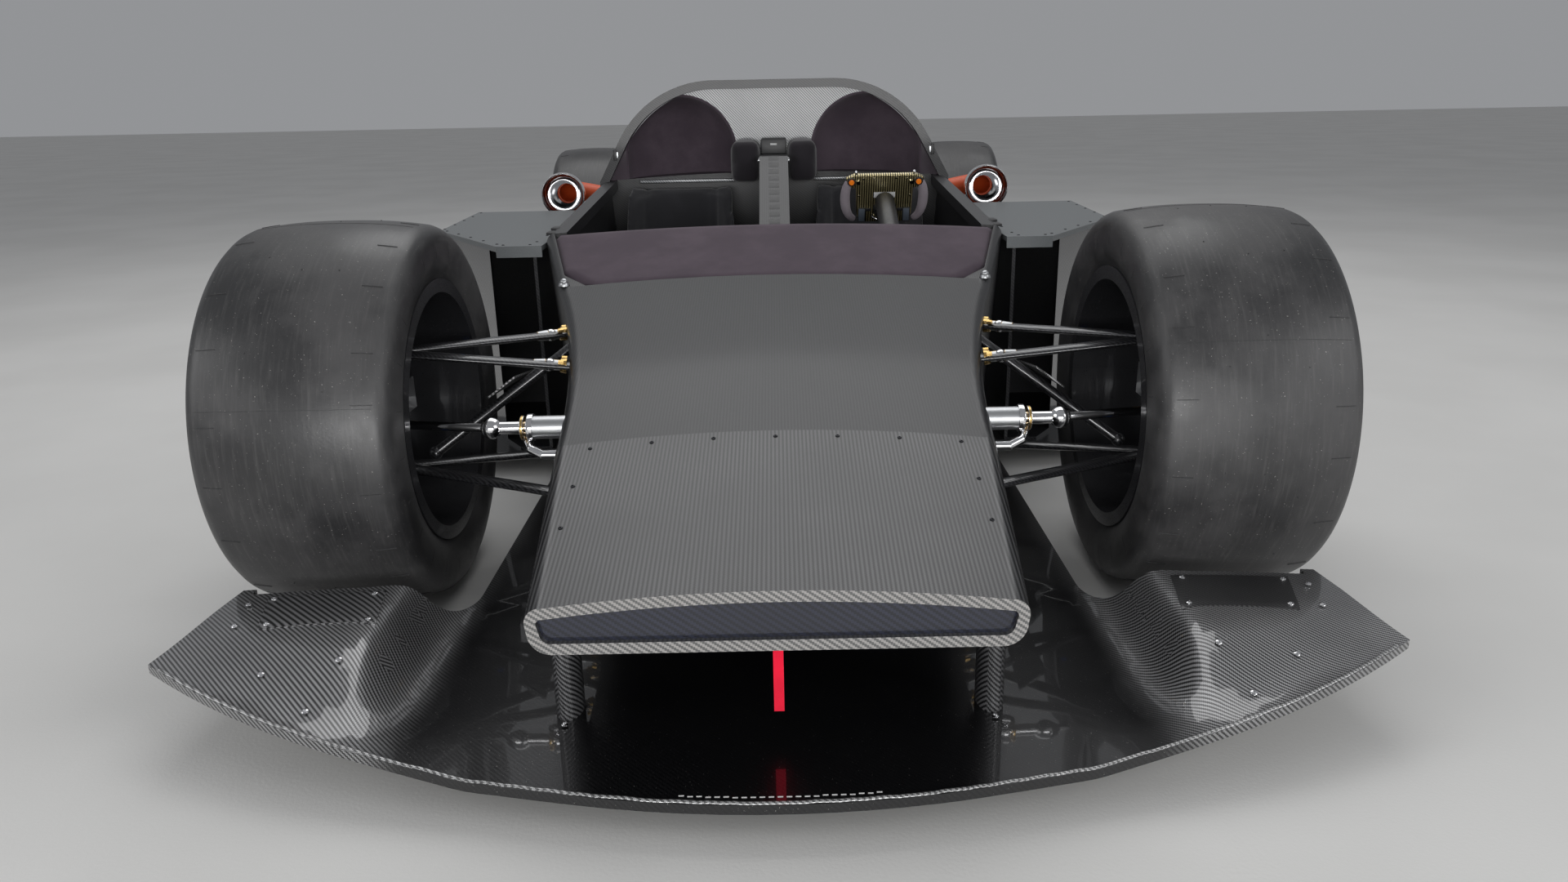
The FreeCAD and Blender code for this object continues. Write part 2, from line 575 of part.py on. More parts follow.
def monocoque(pad):
    """The tub: a solid nose bulkhead, a footwell, an open cockpit and a solid fuel-cell bulkhead."""
    room = tub_solid(worth("tub_wall"), "footwell_y", "hoop_y")
    front_half, rear_half = worth("dash_rear_half - sill_wide"), worth("sill_half - sill_wide")
    front, rear = worth("dash_rear_y"), worth("hoop_y")
    plan = [Vector(-front_half, front, 0), Vector(front_half, front, 0), Vector(rear_half, rear, 0),
            Vector(-rear_half, rear, 0)]
    well = Part.Face(Part.makePolygon(plan + plan[:1])).extrude(Vector(0, 0, FAR))
    well = well.common(block((-FAR, front, worth("floor_top + tub_wall * 4")), (FAR, rear, FAR)))
    return tub_form.cut(room).cut(well).cut(pad).cut(rack_case(worth("rack_case")))


def alcove(inset):
    """The domed recess behind one head: half an egg standing on an oval column."""
    half, deep = worth("alcove_half") - inset, worth("alcove_deep") - inset
    rise, low = worth("alcove_top - alcove_spring") - inset, worth("floor_top")
    scale = Matrix()
    scale.scale(half, deep, rise)
    dome = Part.makeSphere(1).transformGeometry(scale)
    oval = Part.Ellipse(Vector(half, 0, 0), Vector(0, deep, 0), Vector(0, 0, 0))
    column = Part.Face(Part.Wire(oval.toShape())).extrude(Vector(0, 0, low - worth("alcove_spring")))
    upper = dome.common(block((-FAR, -FAR, 0), (FAR, FAR, FAR)))
    made = upper.fuse(column).removeSplitter()
    made.translate(Vector(worth("alcove_x"), worth("hoop_y"), worth("alcove_spring")))
    return made


def bulkhead_block():
    first, last = worth("hoop_y"), worth("hoop_y + bulkhead_deep")
    return above_sills(arch_prism(worth("hoop_wide"), first, last).cut(tub_form))


def above_sills(shape):
    return shape.common(block((-FAR, -FAR, worth("sill_top - tub_edge")), (FAR, FAR, FAR)))


def hoop():
    first, last = worth("hoop_y - hoop_deep / 2"), worth("hoop_y + hoop_deep / 2")
    band = arch_prism(0, first, last).cut(arch_prism(worth("hoop_wide"), first - 1, last + 1))
    return above_sills(band.cut(tub_form))


def chair(label):
    """One bucket chair: a plain wedge-backed cushion on the floor, with two side bolsters."""
    made = new_body(label)
    floor_z = "floor_top + tub_wall"
    back_y = "hoop_y - chair_gap"
    def profile(rise):
        return [("chair_front", floor_z), ("hip_y + 150", floor_z), (back_y, "chair_top - 150"),
                (back_y, "chair_top"), (f"hoop_y - back_thick - {rise} / 2", "chair_top"),
                (f"hip_y + 20 - {rise} / 2", f"hip_z + {rise}"),
                (f"hip_y - 60 - {rise} / 2", f"hip_z + {rise}"),
                ("chair_front", f"chair_lip + {rise} / 2")]
    padded(made, "YZ_Plane", profile("0"), "chair_wide - 2 * bolster_wide",
           "chair_x - chair_wide / 2 + bolster_wide", "Cushion")
    padded(made, "YZ_Plane", profile("bolster"), "bolster_wide", "chair_x + chair_wide / 2 - bolster_wide",
           "OuterBolster")
    padded(made, "YZ_Plane", profile("bolster"), "bolster_wide", "chair_x - chair_wide / 2", "InnerBolster")
    return made


def centre_spine(label):
    made = new_body(label)
    floor_z = "floor_top + tub_wall"
    outline = [("spine_front", floor_z), ("hoop_y", floor_z), ("hoop_y", "spine_top"),
               ("spine_knee", "spine_top"),
               ("spine_front", "spine_low")]
    padded(made, "YZ_Plane", outline, "spine_wide", middle=True)
    return made


def head_pad(label):
    """The padded block beside the spine, inboard of one head."""
    made = new_body(label)
    first, last = "hoop_y - head_pad_long", "hoop_y"
    low, high = "chair_top + head_pad_gap", "chair_top + head_pad_gap + head_pad_tall"
    outline = [(first, low), (last, low), (last, high), (first, high)]
    pad = padded(made, "YZ_Plane", outline, "head_pad_wide", "spine_wide / 2")
    front_top = worth(first), worth(high)
    rounded(made, pad, "26", lambda a, b: all(abs(p.y - front_top[0]) < 1 and abs(p.z - front_top[1]) < 1
                                              for p in (a, b)))
    return made


def column_frame(point):
    """Turns a point of the hand wheel's own frame into the axle frame."""
    tilt = Rotation(Vector(1, 0, 0), worth("hand_wheel_tilt"))
    centre = Vector(worth("hand_wheel_x"), worth("hand_wheel_y"), worth("hand_wheel_z"))
    return centre + tilt.multVec(point)


def steering_column():
    """The column's tube with the hand wheel's pin at its end, hung from under the dash by a bracket."""
    gap, thick = worth("column_gap"), worth("hand_wheel_thick")
    top = column_frame(Vector(0, -thick - gap, 0))
    run = (column_frame(Vector(0, -FAR, 0)) - top).normalize()
    long = (worth("column_front") - top.y) / run.y
    tube = rod(top, top + run * long, worth("column_radius"))
    pin = rod(top, column_frame(Vector(0, -6, 0)), worth("column_pin"))
    half, x = worth("column_bracket / 2"), worth("hand_wheel_x")
    first = worth("column_front") + 10
    low = top.z + run.z * (first - top.y) / run.y - 10
    bracket = block((x - half, first, low), (x + half, first + worth("column_bracket"), FAR))
    bracket = bracket.common(tub_solid(worth("tub_wall"), "footwell_y", "hoop_y"))
    return tube.fuse(pin).fuse(bracket)


def steering_wheel(label):
    """The hand wheel in its own frame: a flat plate across X and Z, two side grips and a bored boss."""
    made = new_body(label)
    half, tall = "hand_wheel_half", "hand_wheel_tall / 2"
    plate = [(f"-({half})", f"-({tall}) * 0.9"), (half, f"-({tall}) * 0.9"), (f"{half} + 8", tall),
             (f"-({half}) - 8", tall)]
    padded(made, "XZ_Plane", plate, "hand_wheel_thick", name="Plate")
    for name, sign in (("LeftGrip", ""), ("RightGrip", "-")):
        inner, outer = f"{sign}(hand_wheel_half - 6)", f"{sign}(hand_wheel_half + grip_wide)"
        grip = [(inner, "-grip_tall * 0.42"), (outer, "-grip_tall * 0.3"), (outer, "grip_tall * 0.3"),
                (inner, "grip_tall * 0.5")]
        padded(made, "XZ_Plane", grip if sign == "" else grip[::-1], "grip_thick", name=name)
    bored(made, "XZ_Plane", (0, 0), "column_pin + pin_play", "hand_wheel_thick - 5", "hand_wheel_thick")
    return made


# ---------------------------------------------------------------- front structure

def smooth(share):
    """Rises from 0 to 1 with a level start and end, as share goes from 0 to 1."""
    share = min(max(share, 0), 1)
    return share * share * (3 - 2 * share)


def splitter_height(x, y, size):
    """The upper face's height: a flat middle, a soft ramp, and a wing that droops to its front edge."""
    out = abs(x)
    bow = (out / size["tip_half"]) ** size["edge_bow"]
    edge_y = (size["tip_y"] + size["front_overhang"]) * bow - size["front_overhang"]
    edge = size["edge_lift"] * max(out - size["edge_start"], 0) / (size["tip_half"] - size["edge_start"])
    beyond = out - size["ramp_foot"] - size["ramp_run"]
    fall = size["plateau_fall"] * smooth(beyond / (size["tip_half"] - size["ramp_foot"]))
    wing = size["splitter_lift"] * smooth((out - size["ramp_foot"]) / size["ramp_run"]) - fall
    return size["floor_top"] + edge + (wing - edge) * smooth((y - edge_y) / size["droop_run"])


def splitter(label):
    """The splitter's sheet, shaped by its heights and kept only inside its outline in plan."""
    names = ("tip_y", "tip_half", "front_overhang", "edge_bow", "edge_start", "edge_lift", "plateau_fall",
             "ramp_foot",
             "ramp_run", "splitter_lift", "floor_top", "droop_run")
    size = {name: worth(name) for name in names}
    reach, first, last = worth("tip_half + 24"), worth("-front_overhang - 24"), worth("splitter_end + 12")
    columns, rows = worth("skin_columns"), worth("skin_rows")
    grid = []
    for row in range(int(rows) + 1):
        y = first + (last - first) * row / rows
        across = [reach * (2 * column / columns - 1) for column in range(int(columns) + 1)]
        grid.append([Vector(x, y, splitter_height(x, y, size)) for x in across])
    skin = Part.BSplineSurface()
    skin.interpolate(grid)
    sheet_solid = skin.toShape().extrude(Vector(0, 0, -worth("floor_thick")))
    plan = new_body(label + "_plan")
    side = [("mid_half", "mid_y", "mid_bend"), ("lead_half", "lead_y", "lead_bend"),
            ("tip_half", "tip_y", "side_bend"),
            ("lug_half", "lug_y", ""), ("lug_in", "lug_y", ""), ("lug_in", "arch_y", ""),
            ("arch_half + arch_corner", "arch_y", ""), ("arch_half", "arch_y + arch_corner",
                                                        "-arch_corner"),
            ("arch_half", "splitter_end", "")]
    bends = [bend for x, y, bend in side[1:]] + [""]
    back = [(f"-({x})", y, bend) for (x, y, _), bend in zip(reversed(side), reversed(bends))]
    outline = [corner if corner[2] else corner[:2] for corner in side + back]
    padded(plan, "XY_Plane", outline, "floor_top + splitter_lift + 50", name="Plan")
    doc.recompute()
    return shaped(label, sheet_solid.common(plan.Shape))


def splitter_stay():
    """An oval upright from the splitter to the underside of the nose."""
    foot = Vector(worth("stay_x"), worth("stay_y"), worth("floor_top"))
    oval = Part.Ellipse(foot + Vector(0, worth("stay_long / 2"), 0),
                        foot + Vector(worth("stay_wide / 2"), 0, 0), foot)
    tall = Vector(0, 0, worth("(nose_front_low + nose_front_top) / 2 - floor_top"))
    return Part.Face(Part.Wire(oval.toShape())).extrude(tall).cut(nose_form)


def tow_strap():
    half, thick, y = worth("strap_wide / 2"), worth("strap_thick"), worth("strap_y")
    return block((-half, y, worth("strap_low")), (half, y + thick,
                                                  worth("nose_front_low + 30"))).cut(nose_form)


# ---------------------------------------------------------------- floor and side pods

def floor(label):
    made = new_body(label)
    half = [("arch_half", "splitter_end"), ("arch_half", "floor_front - 20"),
            ("floor_half - 60", "floor_front"),
            ("floor_half", "floor_front + 120"), ("floor_half", "floor_end"), ("diffuser_half",
                                                                               "floor_end")]
    outline = half + [(f"-({u})", v) for u, v in reversed(half)]
    padded(made, "XY_Plane", outline, "floor_thick", "floor_top - floor_thick")
    return made


def diffuser(label):
    """The rising tail of the floor with its upright strakes underneath."""
    made = new_body(label)
    low, top = "floor_top - floor_thick", "floor_top"
    plate = [("floor_end", low), ("diffuser_end", f"{low} + diffuser_rise"),
             ("diffuser_end", f"{top} + diffuser_rise"),
             ("floor_end", top)]
    padded(made, "YZ_Plane", plate, "diffuser_half * 2", name="Ramp", middle=True)
    fence = [("floor_end + 1", low), ("diffuser_end", f"{low} + 40"),
             ("diffuser_end", f"{low} + diffuser_rise + 2")]
    strake = padded(made, "YZ_Plane", fence, "strake_thick", "-diffuser_half", "Strake")
    row = made.newObject("PartDesign::LinearPattern", "Strakes")
    row.Originals = [strake]
    row.Direction = (strake.Profile[0], ["N_Axis"])
    row.setExpression("Length", bind("diffuser_half * 2 - strake_thick"))
    row.setExpression("Occurrences", bind("strake_count"))
    made.Tip = row
    return made


POD = [("sill_half + panel_play", "panel_front"), ("panel_nose_half", "panel_front"),
       ("panel_bend_half", "panel_bend_y"),
       ("panel_rear_half", "panel_rear"), ("sill_half + panel_play", "panel_rear")]


def side_panel(label):
    """The flat panel beside the cockpit, with a lip turned down along its front edge."""
    made = new_body(label)
    padded(made, "XY_Plane", POD, "panel_thick", "panel_z - panel_thick", "Top")
    lip = [POD[0], POD[1], ("panel_nose_half", "panel_front + 6"), (POD[0][0], "panel_front + 6")]
    padded(made, "XY_Plane", lip, "panel_lip", "panel_z - panel_lip", "Lip")
    return made


def inset_pod(inset):
    plan = [Vector(worth(u), worth(v), worth("floor_top")) for u, v in POD]
    return Part.Face(Part.makePolygon(plan + plan[:1]).makeOffset2D(-inset))


def duct_room():
    """The air's way through one side pod."""
    tall = worth("panel_z - panel_thick - floor_top - 2 * duct_wall")
    room = inset_pod(worth("duct_inset + duct_wall")).extrude(Vector(0, 0, tall))
    return room.translated(Vector(0, 0, worth("duct_wall")))


def sidepod_duct():
    outer = inset_pod(worth("duct_inset")).extrude(Vector(0, 0, worth("panel_z - panel_thick - floor_top")))
    inner, wall = worth("sill_half + panel_play + duct_inset + duct_wall"), worth("duct_wall")
    low, high = worth("floor_top") + wall, worth("panel_z - panel_thick") - wall
    mouth = block((inner, worth("panel_front"), low),
                  (worth("panel_nose_half") + 40, worth("panel_bend_y"), high))
    exit_way = block((inner, worth("panel_bend_y"), low),
                     (worth("panel_bend_half - duct_inset - duct_wall"), FAR, high))
    return outer.cut(duct_room()).cut(mouth).cut(exit_way)


def radiator():
    """The core across the duct, leaning back, touching the duct's walls all round."""
    core = block((0, 0, -FAR), (FAR, worth("radiator_thick"), FAR))
    core.rotate(Vector(0, 0, 0), Vector(1, 0, 0), -worth("radiator_lean"))
    core.translate(Vector(0, worth("radiator_y"), worth("panel_z / 2")))
    return core.common(duct_room())


# ---------------------------------------------------------------- power unit and tail

def engine(label):
    """The engine as one plain block of its real size: a crankcase with two leaning cylinder banks."""
    made = new_body(label)
    start = "hoop_y + bulkhead_deep"
    half = [("engine_half", "engine_low"), ("engine_half + 20", "valley_z - 60"),
            ("head_half", "engine_top - 60"),
            ("head_half - 60", "engine_top"), ("plenum_half - 10", "valley_z")]
    outline = half + [(f"-({u})", v) for u, v in reversed(half)]
    padded(made, "XZ_Plane", outline, f"engine_rear - ({start})", "-engine_rear")
    return made


def intake_plenum(label):
    made = new_body(label)
    half = "plenum_half"
    outline = [(f"-({half} - 12)", "valley_z"), (f"{half} - 12", "valley_z"), (half, "engine_top"),
               (half, "plenum_top"), (f"-{half}", "plenum_top"), (f"-{half}", "engine_top")]
    plug = padded(made, "XZ_Plane", outline, "engine_rear - hoop_y - bulkhead_deep - 120",
                  "-(engine_rear - 60)")
    crown = worth("plenum_top")
    rounded(made, plug, "24", lambda a, b: abs(a.z - crown) < 1 and abs(b.z - crown) < 1)
    return made


def turbocharger():
    """One compressor and turbine on the engine's side, with the exhaust's up and tail pipes."""
    centre = Vector(worth("turbo_x"), worth("turbo_y"), worth("turbo_z"))
    radius, pipe_radius = worth("turbo_radius"), worth("exhaust_radius")
    back = Vector(0, 1, 0)
    scroll = Part.makeTorus(radius - 12, 28, centre, back)
    made = scroll.fuse(Part.makeCylinder(radius - 10, 50, centre - back * 25, back))
    turbine = centre + back * 110
    made = made.fuse(rod(centre, turbine, 34)).fuse(Part.makeTorus(radius - 16, 30, turbine, back))
    made = made.fuse(Part.makeCylinder(radius - 14, 56, turbine - back * 28, back))
    header_end = Vector(worth("head_half - 40"), worth("engine_rear - 160"), worth("engine_top - 70"))
    made = made.fuse(rod(turbine + Vector(-30, 0, -20), header_end, pipe_radius - 8))
    made = made.fuse(rod(turbine, Vector(turbine.x, worth("exhaust_end"), turbine.z), pipe_radius))
    inside = Vector(turbine.x, worth("exhaust_end") - 200, turbine.z)
    return made.cut(rod(inside, inside + back * FAR, pipe_radius - 3))


def bell(label):
    """A trumpet for the compressor's inlet, turned round the X axis with its mouth at X = 0."""
    made = new_body(label)
    mouth, throat, wall, long = "bell_radius", "bell_throat", "bell_wall", "bell_long"
    outline = [("0", mouth), (long, throat, f"-({mouth})"), (f"{long} + 30", throat),
               (f"{long} + 30", f"{throat} - {wall}"),
               (long, f"{throat} - {wall}"), ("0", f"{mouth} - {wall}", mouth)]
    revolved(made, outline)
    return made


def inlet_hose():
    """The hose from the trumpet's throat to the compressor."""
    start = Vector(worth("bell_x"), worth("bell_y + bell_long + 30"), worth("bell_z"))
    end = Vector(worth("turbo_x"), worth("turbo_y") - 25, worth("turbo_z"))
    ahead = Vector(0, 40, 0)
    bend = [start, start + ahead, (start + end) / 2, end - ahead, end]
    return pipe(bend, worth("bell_throat"), worth("bell_throat") - 5)


def tapered(label, first, last, front, back):
    """A casing between two upright faces, each given as half width, underside and top."""
    made = new_body(label)
    faces = []
    for name, y, (half, low, top) in (("Front", first, front), ("Back", last, back)):
        outline = [(f"-({half})", low), (half, low), (half, top), (f"-({half})", top)]
        faces.append(sketch(made, "XZ_Plane", name, outline, f"-({y})"))
    loft = made.newObject("PartDesign::AdditiveLoft", "Casing")
    loft.Profile = faces[0]
    loft.Sections = faces[1:]
    return made


def output_bars(radius, inner):
    """Two short bars across the car on the rear axle, from a given distance off its middle outwards."""
    axle, high, face = worth("wheelbase"), worth("tyre_radius"), worth("output_face")
    return pair(rod(Vector(inner, axle, high), Vector(face, axle, high), radius))


def gearbox_case(casing):
    """The gearbox with two output bosses bored round the driveshafts, and the pylon's bolt holes."""
    made = casing.fuse(output_bars(worth("output_radius"), 60))
    made = made.cut(output_bars(worth("shaft_radius + output_play"),
                                worth("shaft_inner") - worth("output_play")))
    deep, top = worth("tail_hole_deep"), worth("box_top")
    for x in (-0.5, 0.5):
        for y in (-0.5, 0.5):
            along = worth("wheelbase - pylon_ahead") + y * worth("pylon_bolts_y")
            foot = Vector(x * worth("pylon_bolts_x"), along, top - deep)
            made = made.cut(Part.makeCylinder(worth("tail_hole"), deep + 1, foot))
    return made


def crash_box(casing):
    """The crash box with four bolt holes in its end face."""
    end, deep = worth("wheelbase + rear_overhang"), worth("tail_hole_deep")
    middle = worth("(crash_end_low + crash_end_top) / 2")
    made = casing
    for x in (-0.5, 0.5):
        for z in (-0.5, 0.5):
            foot = Vector(x * worth("tail_bolts_x"), end - deep, middle + z * worth("tail_bolts_z"))
            made = made.cut(Part.makeCylinder(worth("tail_hole"), deep + 1, foot, Vector(0, 1, 0)))
    return made


# ---------------------------------------------------------------- the car

for end, axle in CORNERS:
    for side, sign, turn in SIDES:
        for kind, make in (("tyre", tyre), ("rim", rim), ("brake_disc", brake_disc)):
            place(make(f"{end}_{side}_{kind}"), x=f"{sign} * wheel_centre", y=axle, z="tyre_radius",
                  turn=turn)
    doc.recompute()
for side, sign, turn in SIDES:
    shaped(f"front_{side}_knuckle", upright(sign, True))

pad = dash_pad()
shaped("dash_pad", pad)
shaped("monocoque", monocoque(pad))
shaped("rack_case", rack_case(worth("rack_case")).cut(rack_case(worth("rack_radius + rack_play"))))
shaped("steering_rack", steering_rack())

recess = nose_solid(worth("nose_wall"))
panel_front = worth("nose_front_y + end_panel_recess")
slab = block((-FAR, panel_front, -FAR), (FAR, panel_front + worth("end_panel_thick"), FAR))
shaped("nose_box", nose_form.cut(recess))
shaped("nose_end_panel", recess.common(slab))
splitter("front_splitter")
shaped("splitter_stays", pair(splitter_stay()))
shaped("front_tow_strap", tow_strap())

shaped("cockpit_hoop", hoop())
alcoves = pair(alcove(0))
shell = bulkhead_block()
shaped("bulkhead", shell.cut(alcoves))
shaped("headrest_linings", shell.common(alcoves).cut(pair(alcove(worth("lining")))))
place(centre_spine("centre_spine"))
both_sides("head_pads", head_pad("head_pad"))
both_sides("seats", chair("seat"))
shaped("steering_column", steering_column())
hand_tilt = Rotation(Vector(1, 0, 0), worth("hand_wheel_tilt"))
place(steering_wheel("steering_wheel"), "hand_wheel_x", f"{FRONT_AXLE} + hand_wheel_y", "hand_wheel_z",
      hand_tilt)

place(floor("floor"))
place(diffuser("diffuser"))
both_sides("side_panels", side_panel("side_panel"))
shaped("sidepod_ducts", pair(sidepod_duct()))
shaped("radiators", pair(radiator()))

block_body = engine("engine")
place(block_body)
place(intake_plenum("intake_plenum"))
trumpet = bell("inlet_bell")
trumpet.Placement = Placement(Vector(0, 0, 0), Rotation(Vector(0, 0, 1), 90))
for axis in "xyz":
    trumpet.setExpression(f"Placement.Base.{axis}", bind(f"bell_{axis}"))
both_sides("inlet_bells", trumpet)
doc.recompute()
engine_block = block_body.Shape.copy()
engine_block.Placement = Placement()
turbo = turbocharger().cut(engine_block)
shaped("turbochargers", pair(turbo))
shaped("inlet_hoses", pair(inlet_hose().cut(turbo).cut(trumpet.Shape)))

BOX_REAR = "wheelbase + box_behind"
casing = tapered("gearbox_body", "engine_rear", BOX_REAR, ("box_half", "box_low", "box_top"),
                 ("box_tail_half", "box_tail_low", "box_top"))
tail = tapered("crash_body", BOX_REAR, "wheelbase + rear_overhang",
               ("box_tail_half", "crash_end_low", "box_top"),
               ("crash_end_half", "crash_end_low", "crash_end_top"))
doc.recompute()
gearbox = gearbox_case(casing.Shape)
shaped("gearbox_case", gearbox)
shaped("rear_crash_box", crash_box(tail.Shape))

# pick-up points inside the body on the left, as (across, along from the axle, up)
FRONT_UPPER = [Vector(380, 30, 426), Vector(400, 230, 452)]
FRONT_LOWER = [Vector(330, -150, 224), Vector(390, 230, 196)]
FRONT_ROCKER = Vector(395, 130, 450)
REAR_UPPER = [Vector(80, -300, 405), Vector(70, 70, 405)]
REAR_LOWER = [Vector(90, -300, 240), Vector(70, 70, 290)]
REAR_ROCKER = Vector(90, -110, 415)
TOE_INNER, TOE_OUTER = Vector(70, 60, 330), Vector(worth("kingpin"), 50, 330)
rear = Vector(0, worth("wheelbase"), 0)

front_arms = wishbones(0, FRONT_UPPER, FRONT_LOWER, tub_form)
shaped("front_wishbones", pair(front_arms))
shaped("front_pushrods", pair(pushrod(0, FRONT_ROCKER, tub_form, front_arms)))
rear_feet = [[foot + rear for foot in feet] for feet in (REAR_UPPER, REAR_LOWER)]
rear_arms = wishbones(rear.y, *rear_feet, gearbox)
shaped("rear_wishbones", pair(rear_arms))
shaped("rear_pushrods", pair(pushrod(rear.y, REAR_ROCKER + rear, gearbox, rear_arms)))
knuckle = upright(1, False).translated(rear)
shaped("rear_uprights", pair(knuckle))
toe = rod(TOE_INNER + rear, TOE_OUTER + rear, worth("tie_rod_radius"))
shaped("rear_toe_links", pair(toe.cut(gearbox).cut(knuckle)))
for side, sign, turn in SIDES:
    shaft = doc.addObject("Part::Cylinder", f"rear_{side}_driveshaft")
    shaft.setExpression("Radius", bind("shaft_radius"))
    shaft.setExpression("Height", bind("wheel_centre + 20 - shaft_inner"))
    across = Rotation(Vector(0, 1, 0), 90 * sign)
    place(shaft, x=f"{sign} * shaft_inner", y=REAR_AXLE, z="tyre_radius", turn=across)

doc.recompute()
for item in doc.Objects:
    if {"Invalid", "Error"} & set(item.State):
        raise RuntimeError(f"{item.Label} is {item.State}")
for piece in pieces:
    if piece.Shape.isNull() or not piece.Shape.isValid():
        raise RuntimeError(f"{piece.Label} has no valid shape")
os.makedirs("parts", exist_ok=True)
for piece in pieces:
    piece.Shape.exportStep(f"parts/{piece.Label}.step")
print(len(pieces), "sub-parts")
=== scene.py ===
# %% [markdown]
# # An open concept hypercar
# The car stands without its outer bodywork, so nearly everything in sight is woven carbon, rubber, suede
# or machined metal. The construction is already made and packed. This lesson loads it as a fixed frame,
# gives each piece its finish, and models what a plain solid can't show: soft pads, tyre mouldings,
# the steering wheel's face, screws, rod ends and latches.

# %% Load the frame
import math

import bmesh
import bpy
from mathutils import Matrix, Vector


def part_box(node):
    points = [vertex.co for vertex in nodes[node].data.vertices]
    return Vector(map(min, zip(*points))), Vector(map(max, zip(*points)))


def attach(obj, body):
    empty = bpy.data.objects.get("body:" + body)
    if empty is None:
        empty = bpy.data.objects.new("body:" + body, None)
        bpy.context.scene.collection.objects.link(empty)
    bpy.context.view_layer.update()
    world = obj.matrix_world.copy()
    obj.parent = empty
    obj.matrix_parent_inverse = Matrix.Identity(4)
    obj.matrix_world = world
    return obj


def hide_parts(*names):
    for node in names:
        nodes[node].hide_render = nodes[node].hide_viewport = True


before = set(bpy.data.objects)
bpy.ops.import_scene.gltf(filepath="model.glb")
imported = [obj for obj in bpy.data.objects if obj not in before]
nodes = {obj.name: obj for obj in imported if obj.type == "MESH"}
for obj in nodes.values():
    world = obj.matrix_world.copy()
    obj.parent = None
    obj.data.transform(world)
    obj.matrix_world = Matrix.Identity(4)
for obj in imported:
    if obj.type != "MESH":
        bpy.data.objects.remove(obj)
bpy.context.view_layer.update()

# %% [markdown]
# ## Helpers for materials
# A procedural material is a small graph of nodes. Writing such a graph by hand is long, so this class
# keeps one tree and offers one short call for each kind of node. Every pattern reads Object coordinates,
# which stay fixed to the piece wherever the camera stands.

# %% A small builder for node trees


class Finish:
    """One material with a Principled shader, and short calls that add nodes in front of it."""

    def __init__(self, name, color=(0.5, 0.5, 0.5), rough=0.5, metal=0.0, **sockets):
        self.material = bpy.data.materials.new(name)
        self.material.use_nodes = True
        self.tree = self.material.node_tree
        self.shader = self.tree.nodes["Principled BSDF"]
        self.set("Base Color", (*color, 1))
        self.set("Roughness", rough)
        self.set("Metallic", metal)
        for socket, value in sockets.items():
            self.set(socket.replace("_", " "), value)
        self.material.diffuse_color = (*color, 1)

    def set(self, socket, value):
        if isinstance(value, tuple) and len(value) == 3:
            value = (*value, 1)
        self.shader.inputs[socket].default_value = value

    def node(self, kind, **settings):
        made = self.tree.nodes.new("ShaderNode" + kind)
        for name, value in settings.items():
            setattr(made, name, value)
        return made

    def link(self, source, target):
        self.tree.links.new(source, target)
        return target

    def put(self, target, value):
        """Links a socket, or writes a number, into an input."""
        if isinstance(value, bpy.types.NodeSocket):
            self.link(value, target)
        else:
            target.default_value = value

    def sum(self, operation, *values):
        made = self.node("Math", operation=operation)
        for slot, value in zip(made.inputs, values):
            self.put(slot, value)
        return made.outputs[0]

    def mix(self, factor, a, b):
        made = self.node("Mix", data_type="RGBA")
        self.put(made.inputs[0], factor)
        for slot, value in zip((made.inputs[6], made.inputs[7]), (a, b)):
            self.put(slot, (*value, 1) if isinstance(value, tuple) and len(value) == 3 else value)
        return made.outputs[2]

    def coords(self, scale=(1, 1, 1), turn=(0, 0, 0)):
        place = self.node("TexCoord")
        mapping = self.node("Mapping")
        mapping.inputs["Scale"].default_value = scale
        mapping.inputs["Rotation"].default_value = turn
        self.link(place.outputs["Object"], mapping.inputs["Vector"])
        return mapping.outputs[0]

    def noise(self, scale, detail=3.0, rough=0.5, vector=None, stretch=(1, 1, 1)):
        made = self.node("TexNoise")
        made.inputs["Scale"].default_value = scale
        made.inputs["Detail"].default_value = detail
        made.inputs["Roughness"].default_value = rough
        self.link(vector or self.coords(stretch), made.inputs["Vector"])
        return made.outputs["Fac"]

    def band(self, value, low, high, out_low=0.0, out_high=1.0):
        made = self.node("MapRange", interpolation_type="SMOOTHSTEP")
        self.put(made.inputs["Value"], value)
        for name, number in (("From Min", low), ("From Max", high), ("To Min", out_low), ("To Max", out_high)):
            made.inputs[name].default_value = number
        return made.outputs["Result"]

    def bump(self, height, strength=0.3, distance=0.001, before=None):
        made = self.node("Bump")
        made.inputs["Strength"].default_value = strength
        made.inputs["Distance"].default_value = distance
        self.link(height, made.inputs["Height"])
        if before is not None:
            self.link(before, made.inputs["Normal"])
        self.link(made.outputs[0], self.shader.inputs["Normal"])
        return made.outputs[0]

    def split(self, vector):
        made = self.node("SeparateXYZ")
        self.link(vector, made.inputs[0])
        return made.outputs

    def facing(self):
        """How far the surface turns to X, Y and Z, each from 0 to 1, in the object's own frame."""
        turned = self.split(self.node("TexCoord").outputs["Normal"])
        return [self.sum("ABSOLUTE", value) for value in turned]


# %% [markdown]
# ## Woven carbon
# Most of this car is two-by-two twill under clear lacquer: each tow passes over two and under two, one
# step further along in every row, which draws the fine diagonal. An image could hold the weave, but a
# formula stays sharp at any distance. The floor of the place, divided by the tow's width, numbers the
# rows and columns. The sum of the two numbers modulo four says which tow is on top. The weave is laid on
# whichever plane the surface faces most, and the lacquer is a smooth clear coat above the bumpy weave.

# %% Twill as a formula


